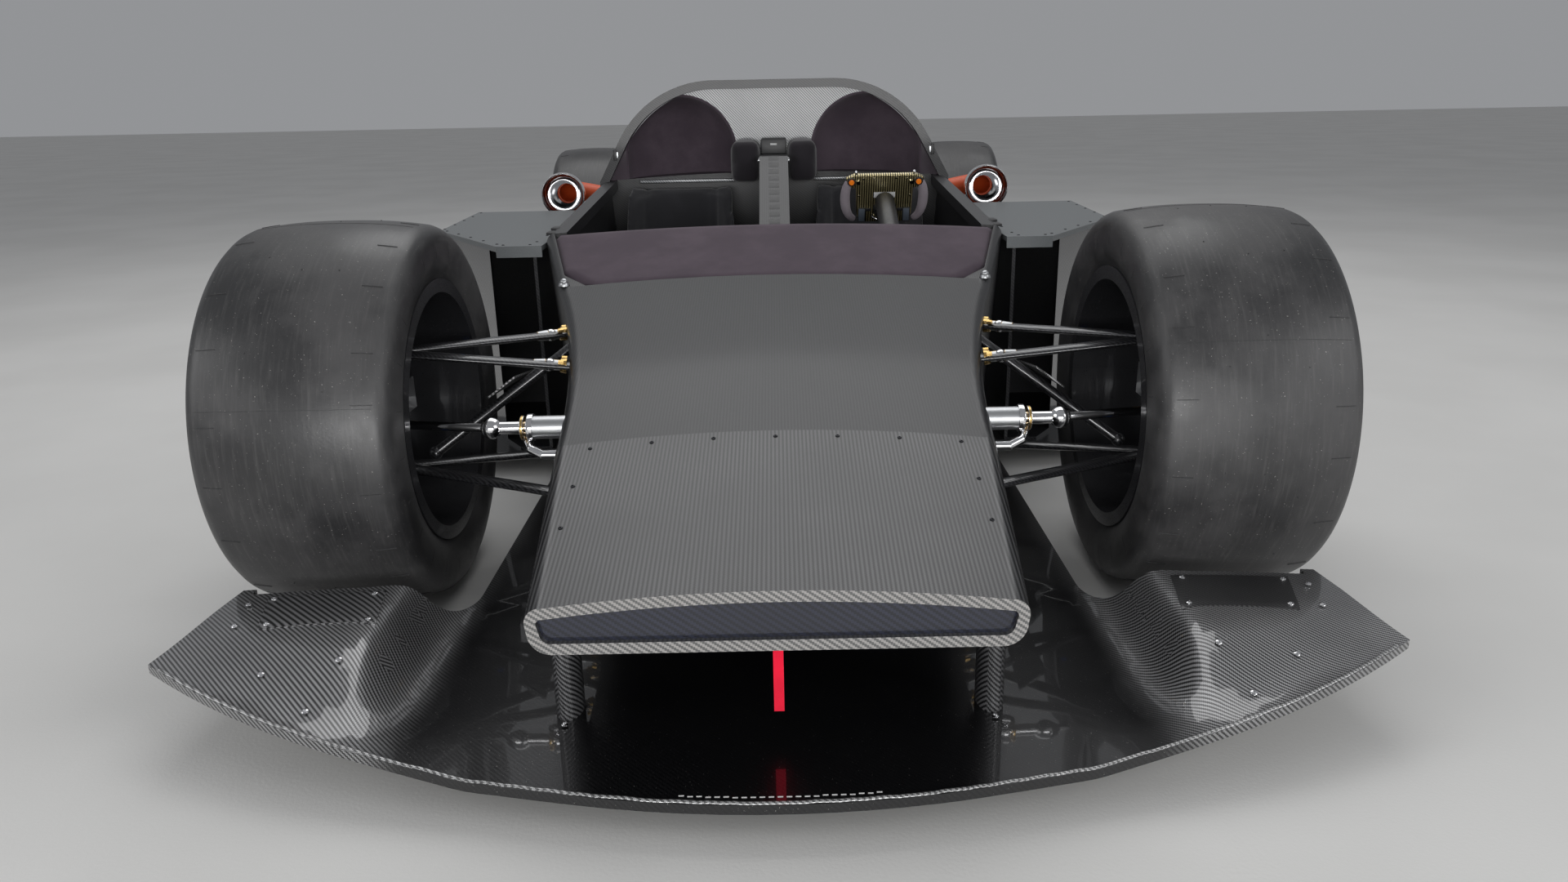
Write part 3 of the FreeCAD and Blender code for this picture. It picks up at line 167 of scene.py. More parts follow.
def weave_height(finish, u, v, tow):
    """(which tow is on top, how high it stands) for two coordinates in metres."""
    across = finish.sum("DIVIDE", u, tow)
    along = finish.sum("DIVIDE", v, tow)
    column, row = finish.sum("FLOOR", across), finish.sum("FLOOR", along)
    step = finish.sum("FLOORED_MODULO", finish.sum("ADD", column, row), 4.0)
    on_top = finish.sum("LESS_THAN", step, 1.5)
    across_tow = finish.sum("PINGPONG", across, 0.5)
    along_tow = finish.sum("PINGPONG", along, 0.5)
    rise = finish.node("Mix", data_type="FLOAT")
    for slot, value in zip((rise.inputs[0], rise.inputs[2], rise.inputs[3]), (on_top, along_tow, across_tow)):
        finish.put(slot, value)
    return on_top, finish.sum("POWER", finish.sum("MULTIPLY", rise.outputs[0], 2.0), 0.6)


def carbon(name, tow=0.0045, dark=(0.012, 0.012, 0.014), pale=(0.06, 0.06, 0.065), turn=0.0, weave_rough=0.35,
           coat=1.0, coat_rough=0.03, bump=0.35, rim=None, metal=0.45, dust=0.0, wing=None):
    """Lacquered twill. turn slants the weave, in degrees. rim=(pale, dark) paints a highlight on faces that look
    ahead.
    wing=(near, far, dark, pale, rough) gives other tows where |x| passes from near to far, mirrored: on the splitter
    these pale tows are a painted highlight of its outer ramps, on the bulkhead they are its real suede."""
    finish = Finish(name, dark, weave_rough, metal, Coat_Weight=coat, Coat_Roughness=coat_rough, Coat_IOR=1.5)
    place = finish.coords(turn=(0, 0, math.radians(turn)))
    x, y, z = finish.split(place)
    _, to_y, to_z = finish.facing()
    flat = finish.sum("GREATER_THAN", to_z, 0.55)
    ahead = finish.sum("GREATER_THAN", to_y, 0.72)
    picks = []
    for level, front, side in ((x, x, y), (y, z, z)):
        upright = finish.node("Mix", data_type="FLOAT")
        for slot, value in zip((upright.inputs[0], upright.inputs[2], upright.inputs[3]), (ahead, side, front)):
            finish.put(slot, value)
        picked = finish.node("Mix", data_type="FLOAT")
        for slot, value in zip((picked.inputs[0], picked.inputs[2], picked.inputs[3]),
                               (flat, upright.outputs[0], level)):
            finish.put(slot, value)
        picks.append(picked.outputs[0])
    on_top, height = weave_height(finish, picks[0], picks[1], tow)
    shade = finish.mix(on_top, dark, pale)
    # On the splitter this outer band paints the highlight its sloping ramps catch; on the bulkhead it is the real
    # suede panel.
    if wing:
        near, far, wing_dark, wing_pale, wing_rough = wing
        aside = finish.sum("ABSOLUTE", finish.split(finish.coords())[0])
        out = finish.band(aside, near, far)
        shade = finish.mix(out, shade, finish.mix(on_top, wing_dark, wing_pale))
        finish.link(finish.band(aside, near, far, weave_rough, wing_rough), finish.shader.inputs["Roughness"])
    cloth = finish.noise(5.0, 3.0)
    shade = finish.mix(finish.band(cloth, 0.3, 0.75, 0.0, 0.35), shade, dark)
    # Painted highlight: faces that look ahead get paler tows, as if lit from the front.
    if rim:
        shade = finish.mix(ahead, shade, finish.mix(on_top, rim[1], rim[0]))
    if dust:
        specks = finish.band(finish.noise(420.0, 2.0), 0.70, 0.76)
        shade = finish.mix(finish.sum("MULTIPLY", specks, dust), shade, (0.55, 0.54, 0.5))
    finish.link(shade, finish.shader.inputs["Base Color"])
    finish.bump(height, bump, tow * 0.12)
    return finish


# %% [markdown]
# The same cloth looks different from piece to piece, because the tows' size, the slant and the lacquer
# differ: the nose has wide bright tows, the tub is darker, the splitter's middle is close to a black
# mirror, and the small end panel is navy with a steep diagonal. The nose's forward faces also carry a
# painted highlight in their tows.

# %% Carbon finishes
tub_carbon = carbon("tub_twill", 0.0019, (0.003, 0.003, 0.004), (0.018, 0.018, 0.020), turn=45, coat=0.16,
                    coat_rough=0.09,
                    metal=0.1, weave_rough=0.42)
# The nose's rim colours are a painted highlight on its forward faces.
nose_carbon = carbon("nose_twill", 0.0022, (0.005, 0.005, 0.006), (0.062, 0.062, 0.064), turn=45, coat=0.2,
                     metal=0.15,
                     coat_rough=0.08, rim=((0.30, 0.29, 0.28), (0.10, 0.10, 0.10)))
panel_carbon = carbon("end_panel_twill", 0.0026, (0.004, 0.005, 0.012), (0.016, 0.020, 0.040), turn=45)
# The pale outer tows of wing are a painted highlight on the splitter's sloping ramps.
splitter_carbon = carbon("splitter_twill", 0.0021, (0.005, 0.005, 0.006), (0.013, 0.013, 0.014), dust=0.5,
                         weave_rough=0.3,
                         wing=(0.50, 0.58, (0.020, 0.020, 0.021), (0.30, 0.30, 0.305), 0.38))
fine_carbon = carbon("fine_twill", 0.0020, (0.010, 0.010, 0.011), (0.16, 0.16, 0.165), coat=0.6,
                     coat_rough=0.10)
silver_carbon = carbon("bulkhead_twill", 0.0021, (0.05, 0.052, 0.055), (0.26, 0.265, 0.27), coat=0.25,
                       coat_rough=0.1,
                       wing=(0.285, 0.290, (0.060, 0.045, 0.057), (0.066, 0.050, 0.063), 0.95), metal=0.2)
arm_carbon = carbon("arm_twill", 0.0022, (0.008, 0.008, 0.009), (0.045, 0.045, 0.05), coat_rough=0.08)
floor_carbon = carbon("floor_twill", 0.0026, (0.010, 0.010, 0.011), (0.04, 0.04, 0.043), weave_rough=0.5,
                      coat=0.5, coat_rough=0.2)

# %% [markdown]
# ## Suede, cloth and webbing
# The dash top, the head recesses and the grips are covered in a mauve-grey synthetic suede. Suede has
# almost no highlight: it is rough all over, with a sheen at grazing angles and faint cloudy marks where
# the nap lies another way. The chairs are a plain black weave.

# %% Soft finishes


def suede(name, color, mark):
    finish = Finish(name, color, 0.95, 0.0, Sheen_Weight=0.12, Sheen_Roughness=0.45,
                    Sheen_Tint=(0.8, 0.72, 0.78),
                    Specular_IOR_Level=0.2)
    nap = finish.band(finish.noise(9.0, 5.0, 0.6), 0.35, 0.7)
    fibre = finish.noise(900.0, 2.0)
    shade = finish.mix(nap, color, mark)
    shade = finish.mix(finish.band(fibre, 0.3, 0.7, 0.0, 0.35), shade, tuple(v * 0.6 for v in color))
    finish.link(shade, finish.shader.inputs["Base Color"])
    finish.bump(fibre, 0.35, 0.0006)
    return finish


def cloth(name, color, pitch=0.0016):
    finish = Finish(name, color, 0.9, 0.0, Sheen_Weight=0.25, Sheen_Roughness=0.5, Specular_IOR_Level=0.2)
    x, y, z = finish.split(finish.coords())
    warp = finish.sum("PINGPONG", finish.sum("DIVIDE", x, pitch), 0.5)
    weft = finish.sum("PINGPONG", finish.sum("DIVIDE", finish.sum("ADD", y, z), pitch), 0.5)
    weave = finish.sum("MULTIPLY", warp, weft)
    wear = finish.band(finish.noise(14.0, 4.0), 0.4, 0.75, 0.0, 0.5)
    finish.link(finish.mix(wear, color, tuple(v * 1.6 for v in color)), finish.shader.inputs["Base Color"])
    finish.bump(weave, 0.5, 0.0006)
    return finish


mauve_suede = suede("mauve_suede", (0.058, 0.044, 0.056), (0.082, 0.063, 0.078))
grip_suede = suede("grip_suede", (0.19, 0.165, 0.185), (0.25, 0.225, 0.245))
seat_cloth = cloth("seat_cloth", (0.012, 0.012, 0.014))
pad_cloth = cloth("pad_cloth", (0.014, 0.012, 0.015))
strap_red = cloth("red_webbing", (0.60, 0.006, 0.030), 0.0022)

# %% [markdown]
# ## Rubber and metals
# A slick tyre is satin black with a dusty bloom, scuffs that run round it and fine pale specks. Bare
# metals differ mostly in roughness: polished trumpets, milled alloy, turned brake iron, and paint.

# %% Rubber and metal finishes


def rubber():
    finish = Finish("slick_rubber", (0.014, 0.014, 0.015), 0.5, 0.0, Specular_IOR_Level=0.6)
    cloud = finish.band(finish.noise(4.5, 6.0, 0.62), 0.36, 0.72)
    streak = finish.band(finish.noise(38.0, 4.0, 0.6, stretch=(5, 0.4, 0.4)), 0.45, 0.85, 0.0, 0.5)
    specks = finish.band(finish.noise(330.0, 2.0), 0.71, 0.75, 0.0, 0.7)
    shade = finish.mix(cloud, (0.017, 0.017, 0.018), (0.046, 0.045, 0.046))
    shade = finish.mix(streak, shade, (0.075, 0.073, 0.072))
    shade = finish.mix(specks, shade, (0.32, 0.31, 0.29))
    finish.link(shade, finish.shader.inputs["Base Color"])
    finish.link(finish.band(cloud, 0.0, 1.0, 0.36, 0.58), finish.shader.inputs["Roughness"])
    finish.bump(finish.noise(260.0, 3.0), 0.25, 0.0005)
    return finish


def metal(name, color, rough, grain=0.0, scale=400.0, stretch=(1, 1, 1), metallic=1.0, **sockets):
    finish = Finish(name, color, rough, metallic, **sockets)
    tone = finish.noise(scale, 3.0, stretch=stretch)
    shade = finish.mix(finish.band(tone, 0.3, 0.7, 0.0, 0.4), color, tuple(v * 0.72 for v in color))
    finish.link(shade, finish.shader.inputs["Base Color"])
    finish.link(finish.band(tone, 0.2, 0.8, rough * 0.8, min(1.0, rough * 1.3)),
                finish.shader.inputs["Roughness"])
    if grain:
        finish.bump(tone, grain, 0.0004)
    return finish


tyre_rubber = rubber()
moulding_rubber = metal("moulded_rubber", (0.035, 0.035, 0.036), 0.6, 0.2, metallic=0.0)
polished = metal("polished_steel", (0.72, 0.72, 0.73), 0.10, scale=60.0)
milled = metal("milled_alloy", (0.50, 0.51, 0.52), 0.34, 0.15, 500.0, (1, 8, 1))
dark_alloy = metal("dark_anodised", (0.045, 0.046, 0.05), 0.36, 0.1)
gold = metal("gold_anodised", (0.62, 0.42, 0.16), 0.25, 0.1)
disc_iron = metal("turned_iron", (0.20, 0.19, 0.185), 0.38, 0.3, 700.0)
rim_paint = metal("rim_paint", (0.030, 0.030, 0.033), 0.32, 0.05, 300.0, metallic=0.4, Coat_Weight=0.4)
cast_alloy = metal("cast_alloy", (0.26, 0.26, 0.265), 0.55, 0.5, 220.0)
cast_iron = metal("heat_marked_iron", (0.24, 0.19, 0.15), 0.5, 0.5, 160.0)
panel_paint = metal("grey_panel_paint", (0.135, 0.145, 0.150), 0.46, 0.08, 700.0, metallic=0.2)
hose_orange = metal("orange_hose", (0.62, 0.085, 0.018), 0.42, 0.1, 300.0, metallic=0.0)
core_black = metal("radiator_core", (0.05, 0.05, 0.052), 0.5, 0.2, 300.0, metallic=0.6)
black_plastic = metal("black_plastic", (0.012, 0.012, 0.013), 0.42, 0.1, metallic=0.0)
blue_cap = metal("blue_cap", (0.02, 0.16, 0.62), 0.3, metallic=0.3)
blank_plate = metal("blank_plate", (0.42, 0.42, 0.42), 0.45, metallic=0.0)
orange_button = metal("orange_button", (0.85, 0.20, 0.01), 0.35, metallic=0.0)
print("materials", len(bpy.data.materials))

# %% [markdown]
# ## Helpers for meshes
# Three small helpers cover most new pieces: one turns lists of points and faces into an object with its
# finish and its body, one turns a profile round the axle, and one joins plain blocks and bars into a
# single detailed mesh. Each object stays at the origin and its place is in its mesh.

# %% Objects from points and faces


def add_piece(name, points, faces, finish, body, slot, smooth=True, angle=35):
    """A mesh object with outward faces, one finish, and the body it rides on."""
    mesh = bpy.data.meshes.new(name)
    mesh.from_pydata([tuple(p) for p in points], [], faces)
    return settle(mesh, name, finish, body, smooth, angle)


def settle(mesh, name, finish, body, smooth=True, angle=35, seal=True):
    shape = bmesh.new()
    shape.from_mesh(mesh)
    bmesh.ops.remove_doubles(shape, verts=shape.verts, dist=1e-6)
    if seal:
        bmesh.ops.recalc_face_normals(shape, faces=shape.faces)
    shape.to_mesh(mesh)
    shape.free()
    mesh.polygons.foreach_set("use_smooth", [smooth] * len(mesh.polygons))
    if smooth:
        mesh.set_sharp_from_angle(angle=math.radians(angle))
    piece = bpy.data.objects.new(name, mesh)
    bpy.context.scene.collection.objects.link(piece)
    if finish:
        mesh.materials.clear()
        mesh.materials.append(finish.material)
    if body:
        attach(piece, body)
    return piece


def lathe(profile, centre, steps=160, axis="x"):
    """Points and faces of a closed profile of (along, radius) turned round an axis through centre."""
    points, faces = [], []
    for step in range(steps):
        turn = 2 * math.pi * step / steps
        for along, radius in profile:
            ring = (math.cos(turn) * radius, math.sin(turn) * radius)
            local = {"x": (along, *ring), "y": (ring[0], along, ring[1]), "z": (*ring, along)}[axis]
            points.append(Vector(local) + centre)
    count = len(profile)
    for step in range(steps):
        here, there = step * count, (step + 1) % steps * count
        for i in range(count):
            j = (i + 1) % count
            faces.append((here + i, here + j, there + j, there + i))
    return points, faces


class Assembly:
    """Bars, blocks and turned pieces gathered into one mesh, each with rounded edges."""

    def __init__(self):
        self.shape = bmesh.new()

    def block(self, centre, size, turn=None, soft=0.0008, index=0):
        made = bmesh.ops.create_cube(self.shape, size=1.0)["verts"]
        place = Matrix.LocRotScale(Vector(centre), (turn or Matrix.Identity(3)).to_quaternion(), Vector(size))
        bmesh.ops.transform(self.shape, matrix=place, verts=made)
        self.soften(made, soft, index)

    def bar(self, start, end, radius, radius_end=None, sides=24, soft=0.0, index=0):
        start, end = Vector(start), Vector(end)
        run = end - start
        made = bmesh.ops.create_cone(self.shape, cap_ends=True, segments=sides, radius1=radius,
                                     radius2=radius if radius_end is None else radius_end, depth=run.length)["verts"]
        place = Matrix.Translation((start + end) / 2) @ run.to_track_quat("Z", "Y").to_matrix().to_4x4()
        bmesh.ops.transform(self.shape, matrix=place, verts=made)
        self.soften(made, soft, index)

    def ball(self, centre, radius, index=0):
        made = bmesh.ops.create_uvsphere(self.shape, u_segments=24, v_segments=16, radius=radius)["verts"]
        bmesh.ops.transform(self.shape, matrix=Matrix.Translation(Vector(centre)), verts=made)
        self.soften(made, 0, index)

    def soften(self, verts, soft, index):
        faces = {face for vert in verts for face in vert.link_faces}
        for face in faces:
            face.material_index = index
        if soft:
            sharp = {e for v in verts for e in v.link_edges
                     if len(e.link_faces) == 2 and e.calc_face_angle() > 0.7}
            bmesh.ops.bevel(self.shape, geom=list(sharp), offset=soft, segments=2, affect="EDGES", profile=0.6)

    def done(self, name, finishes, body, angle=30):
        mesh = bpy.data.meshes.new(name)
        self.shape.to_mesh(mesh)
        self.shape.free()
        piece = settle(mesh, name, None, body, True, angle)
        for finish in finishes:
            mesh.materials.append(finish.material)
        return piece



# %% [markdown]
# ## Repeats by Geometry Nodes
# Screws, tyre mouldings and bolts repeat one small shape. Two node trees do this work. The first turns
# copies of a shape round the wheel's axle, each at a slightly uneven angle. The second puts copies of a
# shape on the points of a mesh. Both end in Realize Instances and Set Material, and the evaluated result
# is kept as a plain mesh.

# %% Node trees that repeat a shape


def new_tree(name, inputs):
    tree = bpy.data.node_groups.new(name, "GeometryNodeTree")
    tree.interface.new_socket("Geometry", in_out="OUTPUT", socket_type="NodeSocketGeometry")
    tree.interface.new_socket("Geometry", in_out="INPUT", socket_type="NodeSocketGeometry")
    for label, kind in inputs:
        tree.interface.new_socket(label, in_out="INPUT", socket_type="NodeSocket" + kind)
    return tree, tree.nodes.new("NodeGroupInput"), tree.nodes.new("NodeGroupOutput")


def end_tree(tree, source, given, out):
    real = tree.nodes.new("GeometryNodeRealizeInstances")
    paint = tree.nodes.new("GeometryNodeSetMaterial")
    tree.links.new(source, real.inputs[0])
    tree.links.new(real.outputs[0], paint.inputs["Geometry"])
    tree.links.new(given.outputs["Material"], paint.inputs["Material"])
    tree.links.new(paint.outputs[0], out.inputs[0])


def ring_tree():
    """Copies of the incoming shape turned round the X axis, with a seeded unevenness."""
    tree, given, out = new_tree("turn_round_axle", [("Count", "Int"), ("Unevenness", "Float"), ("Seed", "Int"),
                                                    ("Centre", "Vector"), ("Material", "Material")])
    link = tree.links.new
    spots = tree.nodes.new("GeometryNodePoints")
    link(given.outputs["Count"], spots.inputs["Count"])
    index = tree.nodes.new("GeometryNodeInputIndex")
    share = tree.nodes.new("ShaderNodeMath")
    share.operation = "DIVIDE"
    link(index.outputs[0], share.inputs[0])
    link(given.outputs["Count"], share.inputs[1])
    turn = tree.nodes.new("ShaderNodeMath")
    turn.operation = "MULTIPLY"
    turn.inputs[1].default_value = 2 * math.pi
    link(share.outputs[0], turn.inputs[0])
    chance = tree.nodes.new("FunctionNodeRandomValue")
    chance.data_type = "FLOAT"
    chance.inputs[2].default_value = -1.0
    chance.inputs[3].default_value = 1.0
    link(given.outputs["Seed"], chance.inputs["Seed"])
    uneven = tree.nodes.new("ShaderNodeMath")
    uneven.operation = "MULTIPLY_ADD"
    link(chance.outputs[1], uneven.inputs[0])
    link(given.outputs["Unevenness"], uneven.inputs[1])
    link(turn.outputs[0], uneven.inputs[2])
    angles = tree.nodes.new("ShaderNodeCombineXYZ")
    link(uneven.outputs[0], angles.inputs["X"])
    copies = tree.nodes.new("GeometryNodeInstanceOnPoints")
    link(spots.outputs[0], copies.inputs["Points"])
    link(given.outputs["Geometry"], copies.inputs["Instance"])
    link(angles.outputs[0], copies.inputs["Rotation"])
    shift = tree.nodes.new("GeometryNodeTransform")
    real = tree.nodes.new("GeometryNodeRealizeInstances")
    link(copies.outputs[0], real.inputs[0])
    link(real.outputs[0], shift.inputs["Geometry"])
    link(given.outputs["Centre"], shift.inputs["Translation"])
    end_tree(tree, shift.outputs[0], given, out)
    return tree


def scatter_tree():
    """Copies of a chosen object on the points of the incoming mesh, turned by each point's own attribute."""
    tree, given, out = new_tree("set_on_points", [("Piece", "Object"), ("Material", "Material")])
    link = tree.links.new
    piece = tree.nodes.new("GeometryNodeObjectInfo")
    link(given.outputs["Piece"], piece.inputs["Object"])
    lie = tree.nodes.new("GeometryNodeInputNamedAttribute")
    lie.data_type = "FLOAT_VECTOR"
    lie.inputs["Name"].default_value = "lie"
    copies = tree.nodes.new("GeometryNodeInstanceOnPoints")
    link(given.outputs["Geometry"], copies.inputs["Points"])
    link(piece.outputs["Geometry"], copies.inputs["Instance"])
    link(lie.outputs["Attribute"], copies.inputs["Rotation"])
    end_tree(tree, copies.outputs[0], given, out)
    return tree


RING, SCATTER = ring_tree(), scatter_tree()


def grown(source, tree, **inputs):
    """The plain mesh that a node tree makes from a source object."""
    modifier = source.modifiers.new("grow", "NODES")
    modifier.node_group = tree
    for item in tree.interface.items_tree:
        if item.in_out == "INPUT" and item.name in inputs:
            modifier[item.identifier] = inputs[item.name]
    ready = source.evaluated_get(bpy.context.evaluated_depsgraph_get())
    mesh = bpy.data.meshes.new_from_object(ready)
    bpy.data.objects.remove(source)
    return mesh


def loose(mesh_or_points, faces=()):
    """An object used only as material for a node tree."""
    mesh = mesh_or_points
    if not isinstance(mesh, bpy.types.Mesh):
        mesh = bpy.data.meshes.new("seed")
        mesh.from_pydata([tuple(p) for p in mesh_or_points], [], faces)
    made = bpy.data.objects.new("seed", mesh)
    bpy.context.scene.collection.objects.link(made)
    return made


def set_on(name, spots, stamp, finish, body):
    """Copies of a stamp at spots, each a (place, rotation as three angles)."""
    source = loose([place for place, lie in spots])
    mark = source.data.attributes.new("lie", "FLOAT_VECTOR", "POINT")
    for entry, (place, lie) in zip(mark.data, spots):
        entry.vector = lie
    mesh = grown(source, SCATTER, Piece=stamp, Material=finish.material)
    return settle(mesh, name, finish, body, True, 30, seal=False)


def screw_stamp(radius, tall, drive=0.45):
    """A low button head with a sunk socket, standing on z = 0."""
    profile = [(0.0, 0.0), (0.0, radius), (tall * 0.45, radius), (tall * 0.85, radius * 0.82),
               (tall, radius * 0.6),
               (tall, radius * drive), (tall * 0.4, radius * drive), (tall * 0.4, 0.0)]
    points, faces = lathe(profile, Vector(), 14, "z")
    stamp = loose(points, faces)
    shape = bmesh.new()
    shape.from_mesh(stamp.data)
    bmesh.ops.remove_doubles(shape, verts=shape.verts, dist=1e-6)
    bmesh.ops.recalc_face_normals(shape, faces=shape.faces)
    shape.to_mesh(stamp.data)
    shape.free()
    return stamp


button_head = screw_stamp(0.0052, 0.0026)
small_head = screw_stamp(0.0036, 0.0018)
cap_bolt = screw_stamp(0.0075, 0.0065)
print("trees", RING.name, SCATTER.name)

# %% [markdown]
# ## Finishes for the construction's own pieces
# A construction piece whose shape is already right keeps its mesh and gets a better material in its slots.
# The table below is the whole list. Soft pads, tyres and the steering wheel are not in it, because later
# cells replace them with modelled pieces.

# %% Give each plain piece its finish
FINISHES = {
    "monocoque": tub_carbon, "cockpit_hoop": tub_carbon, "nose_box": nose_carbon, "nose_end_panel": panel_carbon,
    "front_splitter": splitter_carbon, "splitter_stays": fine_carbon, "front_tow_strap": strap_red,
    "bulkhead": silver_carbon, "headrest_linings": mauve_suede, "centre_spine": tub_carbon,
    "dash_pad": mauve_suede, "head_pads": pad_cloth, "seats": seat_cloth, "steering_column": black_plastic,
    "steering_wheel": fine_carbon, "floor": floor_carbon, "diffuser": floor_carbon, "side_panels": panel_paint,
    "sidepod_ducts": arm_carbon, "radiators": core_black, "engine": cast_alloy, "intake_plenum": fine_carbon,
    "turbochargers": cast_iron, "inlet_bells": polished, "inlet_hoses": hose_orange, "gearbox_case": cast_alloy,
    "rear_crash_box": fine_carbon, "front_wishbones": arm_carbon, "front_pushrods": arm_carbon,
    "rear_wishbones": arm_carbon, "rear_pushrods": arm_carbon, "rear_uprights": milled,
    "rear_toe_links": dark_alloy,
    "rear_left_driveshaft": dark_alloy, "rear_right_driveshaft": dark_alloy, "rack_case": milled,
    "steering_rack": polished,
}
for end in ("front", "rear"):
    for side in ("left", "right"):
        FINISHES[f"{end}_{side}_tyre"] = tyre_rubber
        FINISHES[f"{end}_{side}_rim"] = rim_paint
        FINISHES[f"{end}_{side}_brake_disc"] = disc_iron
for side in ("left", "right"):
    FINISHES[f"front_{side}_knuckle"] = milled
for name, finish in FINISHES.items():
    for place in nodes[name].material_slots:
        place.material = finish.material
print("without a finish:", sorted(set(nodes) - set(FINISHES)))

# %% [markdown]
# ## Tyres
# A slick has no tread, but the mould leaves marks: short raised ticks on both shoulders, a few hair-thin
# lines right across the tread where the mould's parts met, and tiny vent dots. The carcass is one smooth
# turned profile. The ticks and lines are short ribs that Geometry Nodes turn round the axle, bent to the
# tyre's own profile, each at a slightly uneven angle.

# %% The carcass
TYRE = {"radius": 0.355, "half": 0.1675, "tread": 0.143, "drop": 0.010, "bead": 0.229, "bead_half": 0.148}


def tread_radius(across):
    """The tyre's outer radius at a distance from its middle plane."""
    share = min(abs(across) / TYRE["tread"], 1)
    return TYRE["radius"] - TYRE["drop"] * share ** 2.4


def tyre_profile():
    """The closed profile of one tyre as (across, radius), outside first and then the inside."""
    tread = [(-TYRE["tread"] + 2 * TYRE["tread"] * i / 28, 0) for i in range(29)]
    outside = [(x, tread_radius(x)) for x, _ in tread]
    corner = [(0.1515, 0.3412), (0.1590, 0.3345), (0.1642, 0.3250), (0.1668, 0.3130), (0.1675, 0.2990),
              (0.1668, 0.2840), (0.1645, 0.2700), (0.1605, 0.2570), (0.1555, 0.2480), (0.1500, 0.2420),
              (0.1482, 0.2360), (0.1480, 0.2295)]
    inside = [(0.1400, 0.2295), (0.1440, 0.2500), (0.1520, 0.2750), (0.1540, 0.2990), (0.1490, 0.3220),
              (0.1340, 0.3340)]
    mirrored = [(-x, r) for x, r in reversed(corner)]
    hollow = [(-x, r) for x, r in inside]
    return outside + corner + inside + list(reversed(hollow)) + mirrored


WHEELS = {}
for end in ("front", "rear"):
    for side, sign in (("left", 1), ("right", -1)):
        low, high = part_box(f"{end}_{side}_tyre")
        WHEELS[end, side] = (sign, (Vector(low) + Vector(high)) / 2, f"{end}_{side}_wheel")
        sign, centre, body = WHEELS[end, side]
        points, faces = lathe(tyre_profile(), centre, 200)
        carcass = add_piece(f"{end}_{side}_carcass", points, faces, tyre_rubber, body, "tyre", angle=60)
        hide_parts(f"{end}_{side}_tyre")
print("wheels", {key: [round(v, 4) for v in value[1]] for key, value in WHEELS.items()})

# %% Ribs left by the mould


def rib(path, wide, tall):
    """A thin raised rib along a path of (across, radius), flush with the rubber at its foot."""
    points, faces = [], []
    for across, radius in path:
        for y, z in ((-wide / 2, -0.0008), (-wide / 4, tall), (wide / 4, tall), (wide / 2, -0.0008)):
            points.append((across, y, radius + z))
    for i in range(len(path) - 1):
        for j in range(4):
            faces.append((4 * i + j, 4 * i + (j + 1) % 4, 4 * i + 4 + (j + 1) % 4, 4 * i + 4 + j))
    faces += [(3, 2, 1, 0), tuple(len(points) - 4 + j for j in range(4))]
    return loose(points, faces)


def shoulder_path(sign, start, stop, steps=8):
    spots = [start + (stop - start) * i / steps for i in range(steps + 1)]
    return [(sign * x, tread_radius(x)) for x in spots]


def mark_tyre(key, seed):
    sign, centre, body = WHEELS[key]
    kinds = [(shoulder_path(1, 0.109, 0.142), 19, 0.05, 0.0016, 0.0011),
             (shoulder_path(-1, 0.109, 0.142), 19, 0.05, 0.0016, 0.0011),
             (shoulder_path(1, -0.140, 0.140, 30), 5, 0.20, 0.0009, 0.0005)]
    wall = [(0.1662, 0.3160), (0.1672, 0.3060), (0.1678, 0.2960), (0.1672, 0.2860)]
    kinds += [(wall, 24, 0.0, 0.0020, 0.0009), ([(-x, r) for x, r in reversed(wall)], 24, 0.0, 0.0020, 0.0009)]
    whole = bmesh.new()
    for number, (path, count, uneven, wide, tall) in enumerate(kinds):
        mesh = grown(rib(path, wide, tall), RING, Count=count, Unevenness=uneven, Seed=seed + number,
                     Centre=centre,
                     Material=moulding_rubber.material)
        whole.from_mesh(mesh)
    vents = [loose(*lathe([(-0.001, 0.0), (-0.001, 0.0014), (0.0009, 0.0012), (0.0009, 0.0)], Vector(), 8, "z"))
             for _ in range(3)]
    for number, (vent, across) in enumerate(zip(vents, (-0.060, 0.004, 0.066))):
        vent.data.transform(Matrix.Translation((across, 0, tread_radius(across))))
        mesh = grown(vent, RING, Count=11, Unevenness=0.12, Seed=seed + 40 + number, Centre=centre,
                     Material=moulding_rubber.material)
        whole.from_mesh(mesh)
    mesh = bpy.data.meshes.new("marks")
    whole.to_mesh(mesh)
    whole.free()
    settle(mesh, f"{key[0]}_{key[1]}_mould_marks", moulding_rubber, body, angle=40)


for number, key in enumerate(WHEELS):
    mark_tyre(key, 100 * number + 7)
print("tyres marked")
